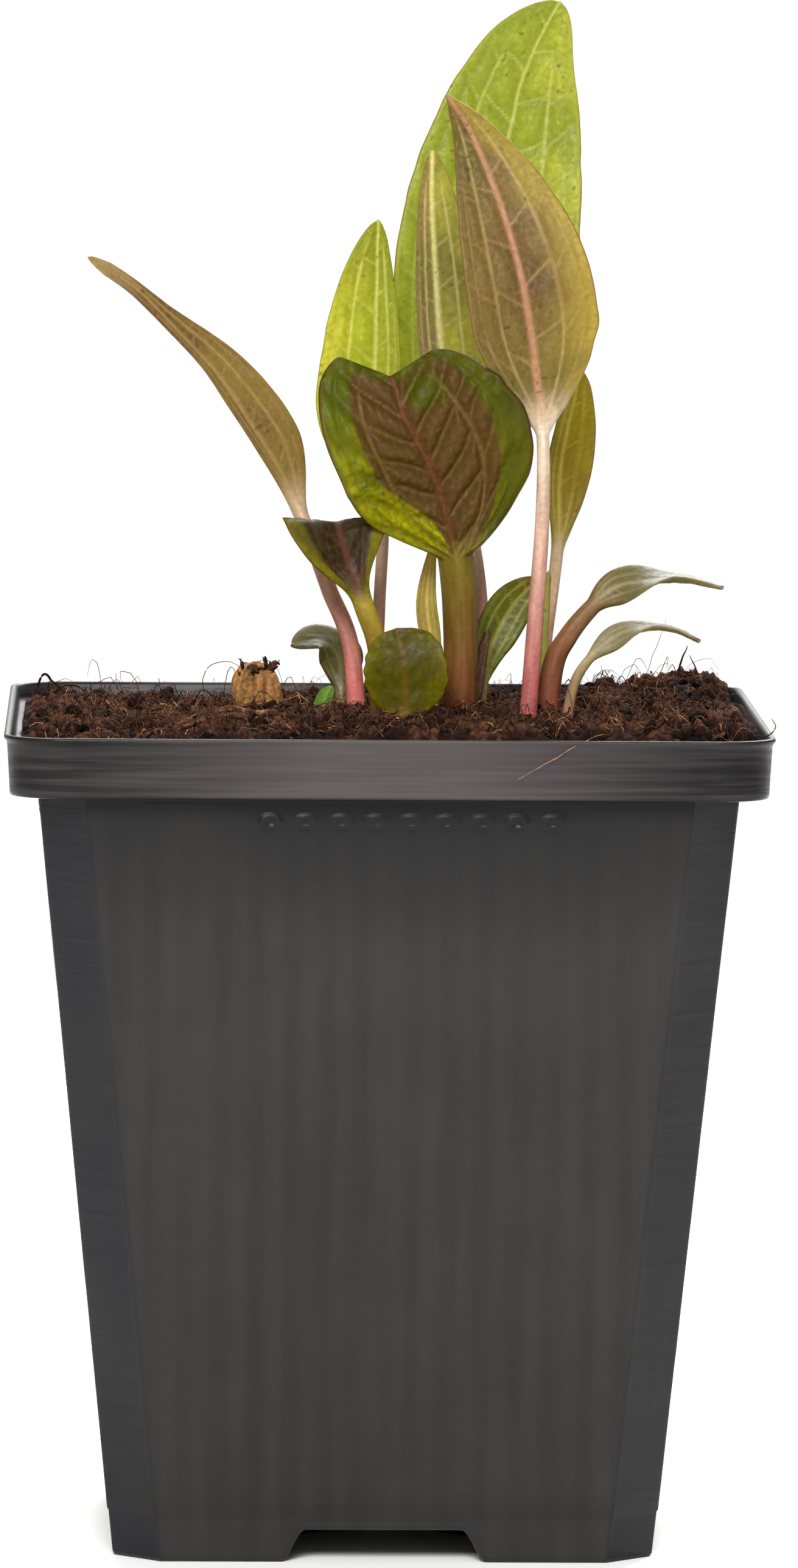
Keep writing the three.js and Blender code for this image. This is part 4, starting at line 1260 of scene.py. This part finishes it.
# %% Stray roots and twigs
# Each path is a few points in mm that the curve passes through, then the radius and the tone.
STRAYS = [
    ([(-20, 12, 97), (-21.5, 12, 99.5), (-21, 12, 102.3), (-18.5, 12, 103.1), (-16, 12, 102)],
      0.05, 0.4),
    ([(-15.6, 8, 99), (-15.8, 8, 102.4), (-14.2, 8, 103.6), (-12.6, 8, 102.6), (-11.9, 8, 100)],
      0.04, 0.5),
    ([(-13, 6, 98), (-11.4, 6, 99.6), (-9.4, 5, 99.9), (-7.4, 5, 98.2)], 0.09, 0.3),
    ([(-41, 30, 97), (-41.6, 30, 98.8), (-40.8, 30, 100.2), (-39.8, 31, 99.2), (-38, 32, 97.4)],
      0.16, 0.15),
    ([(-39.6, 33, 97.4), (-38.4, 33, 98.6), (-36.4, 33, 98.2), (-35, 33, 97)], 0.12, 0.2),
    ([(36.8, 36, 98), (37.2, 36, 101), (38.2, 36, 103.6)], 0.13, 0.1),
    ([(38, 36, 98), (39.2, 36, 100.4), (38.4, 36, 102.4)], 0.1, 0.2),
    ([(32.4, 36, 98), (33.6, 36, 101.4), (34.8, 36, 104.6), (35.6, 36, 107)], 0.035, 0.6),
    ([(-22, -24, 98.4), (-19.5, -25, 99.4), (-16.4, -25, 99.1), (-13, -26, 98.7), (-11.6, -29,
      97.8)], 0.3, 0.55),
    ([(-10, -14, 97.6), (-7.6, -14, 99.2), (-5.6, -13, 100.6), (-4.4, -12, 99)], 0.07, 0.8),
    ([(26, -38, 98), (24.4, -43.4, 98.9), (21, -44.9, 97.4), (17.6, -45.05, 95.4), (14.6, -45.0,
      93.6)], 0.045, 1.0),
    ([(42, -36, 98.2), (44, -38, 98.4), (44.9, -38, 99.4), (44.5, -37, 100.2)], 0.08, 0.3),
]


def add_strays(material):
    """Roots and twigs that stand out by themselves, each on its own curve."""
    paths = np.array([curve_through(np.array(path, float), 24) for path, _, _ in STRAYS])
    radii = np.array([radius for _, radius, _ in STRAYS])
    paths = shaken(paths, 0.12, 1.6, seed=0)
    points, faces = tubes(paths, radii, sides=8)
    tones = np.repeat([shade for _, _, shade in STRAYS], len(points) // len(paths))
    make_piece("stray_roots", points, faces, material, paint=gray_paint(tones))


# %% Soil finishes
def peat(name, dark, middle, pale, roughness):
    """Painted tone from dark to pale, broken up by grains of two sizes, matt and pitted."""
    g = Graph(name)
    paint = g.add("ShaderNodeAttribute", {"attribute_name": "paint"}).outputs["Fac"]
    fine = g.grain(1700, detail=5)
    level = g.number("ADD", paint, g.number("MULTIPLY", g.number("SUBTRACT", fine, 0.5), 1.1))
    earth = g.blend(g.ramp(level, 0.05, 0.7), dark, middle)
    earth = g.blend(g.ramp(level, 0.75, 1.15), earth, pale)
    g.put(g.shader.inputs["Base Color"], earth)
    g.shader.inputs["Roughness"].default_value = roughness
    g.shader.inputs["Specular IOR Level"].default_value = 0.06
    g.put(g.shader.inputs["Normal"], g.bumps(fine, 0.8, 0.0004))
    return g.material


FIBRE = peat("peat_fibre", color(26, 15, 10), color(78, 49, 33), color(186, 134, 92), 0.8)
add_soil(peat("peat_bed", color(5, 3, 2), color(38, 22, 16), color(84, 53, 37), 0.95))
add_flakes(peat("peat_flakes", color(8, 5, 3), color(42, 25, 18), color(98, 64, 44), 0.95))
add_fibres(FIBRE)
add_strays(FIBRE)

# %% [markdown]
# ## The stump, the root and the feed grains
# Last year's stem has dried to a ragged, barky stub. It is a profile turned round an axis, torn
# by noise, with dry scales curling off it. The surface root is a tube that gets thinner, and the
# two grains of slow feed are pitted balls.

# %% Dry stump
STUMP_PLACE = (-15.3, 0, 95.0)
STUMP_DEPTH = 0.85  # its depth as a part of its width
STUMP_PROFILE = [(0.3, 0), (2.6, 0), (2.9, 1.5), (2.8, 3.4), (2.9, 5.4), (2.6, 7), (1.6, 8.4),
                 (0.3, 8.9)]


def add_stump(material):
    """The profile turned round, its radius torn by tall flutes and by noise."""
    radius, height = curve_through(np.array(STUMP_PROFILE, float), 70).T
    angle = np.linspace(0, 2 * np.pi, 110, endpoint=False)
    flutes = 1 + 0.14 * np.sin(3 * angle + 0.4 * height[:, None])
    round_x, round_y = np.cos(angle) * flutes, np.sin(angle) * flutes * STUMP_DEPTH
    x, y = radius[:, None] * round_x, radius[:, None] * round_y
    z = height[:, None] * np.ones_like(x)
    bark = np.stack([4 * np.cos(angle) * np.ones_like(x), 4 * np.sin(angle) * np.ones_like(x),
                     0.5 * z], axis=-1)
    torn = 0.3 * rough(bark * [1, 1, 0.4], 1.8, 4, seed=31)
    swell = 1 + torn * smooth_step(0.2, 1.5, radius)[:, None] / 2.4
    top = smooth_step(6.5, 8.4, z)
    z = z + 0.5 * top * noise(bark, 1.6, seed=35)
    rings = np.stack([x * swell, y * swell, z], axis=-1) + STUMP_PLACE
    points, faces = closed_skin(rings, np.array(STUMP_PLACE), rings[-1].mean(0))
    grooves = rough(bark * [1, 1, 0.3], 0.9, 3, seed=33)
    tones = 0.6 + 0.3 * grooves - 0.5 * (1 - smooth_step(1.5, 4.5, z))
    tones = np.concatenate([tones.ravel(), [0, 0]])
    make_piece("dry_stump_bark", points, faces, material, ["dry_stem_stump"],
               gray_paint(tones))


def add_scales(material, count=60):
    """Curled dry scales round the stump, most of them at its foot and its top."""
    rng = np.random.default_rng(41)
    angle = rng.uniform(0, 2 * np.pi, count)
    at_top = rng.random(count) < 0.55
    height = np.where(at_top, rng.uniform(6.6, 8.4, count), rng.uniform(1.8, 3.2, count))
    reach = np.where(at_top, 1.9, 2.7)
    t = np.linspace(0, 1, 7)[None]
    curl = rng.normal(0, 0.9, count)[:, None] * t
    out = reach[:, None] + rng.uniform(0.3, 1.3, count)[:, None] * t
    turn = angle[:, None] + 0.5 * curl
    x, y = out * np.cos(turn), STUMP_DEPTH * out * np.sin(turn)
    z = height[:, None] + rng.uniform(0.2, 1.9, count)[:, None] * t * np.cos(curl)
    paths = np.stack([x, y, z], axis=-1) + STUMP_PLACE
    points, faces = tubes(paths, rng.uniform(0.08, 0.26, count), sides=5)
    tones = np.repeat(rng.random(count) * 0.5, len(points) // count)
    make_piece("dry_stump_scales", points, faces, material, paint=gray_paint(tones))


# %% Surface root and grains
ROOT_PATH = [(-21, -16, 97.6), (-19.4, -14, 99.3), (-15.6, -14, 98.9), (-13, -15, 98.9),
             (-12.2, -18, 97)]
ROOT_RADIUS = 0.42
GRAINS = {"fertiliser_grain_1": (1.2, -22, 98.5), "fertiliser_grain_2": (2.8, -23, 98.2)}
GRAIN_RADIUS = 0.6


def add_root(material):
    """A tapered tube along the CAD model's root."""
    path = curve_through(np.array(ROOT_PATH, float), 60)
    path = shaken(path, 0.1, 1.5, seed=50)
    points, faces = tubes(path[None], np.array([ROOT_RADIUS]), sides=12)
    tones = 0.55 + 0.4 * rough(points, 0.8, 2, seed=54)
    make_piece("surface_root_bark", points, faces, material, ["surface_root"],
               gray_paint(tones))


def add_grains(material):
    """Pitted balls: rings of a sphere whose radius is roughened."""
    turn, rise = np.meshgrid(np.linspace(0, 2 * np.pi, 28, endpoint=False),
                             np.linspace(-1.45, 1.45, 16))
    ball = np.stack([np.cos(rise) * np.cos(turn), np.cos(rise) * np.sin(turn), np.sin(rise)], -1)
    for node, place in GRAINS.items():
        centre = np.array(place, float)
        skin = ball * (GRAIN_RADIUS * (1 + 0.09 * rough(ball + centre, 0.5, 3, seed=60)))[..., None]
        pole = np.array([0, 0, GRAIN_RADIUS * 0.98])
        points, faces = closed_skin(skin + centre, centre - pole, centre + pole)
        tones = 0.5 + 0.4 * rough(points, 0.4, 2, seed=62)
        make_piece(node + "_ball", points, faces, material, [node], gray_paint(tones))


BARK = peat("dry_bark", color(56, 36, 22), color(156, 112, 66), color(206, 168, 104), 0.85)
add_stump(BARK)
add_scales(peat("dry_scales", color(40, 25, 18), color(96, 64, 42), color(170, 124, 78), 0.85))
add_root(FIBRE)
add_grains(peat("feed_grain", color(150, 86, 56), color(214, 150, 116), color(236, 196, 168), 0.6))
print("stump, root and grains")
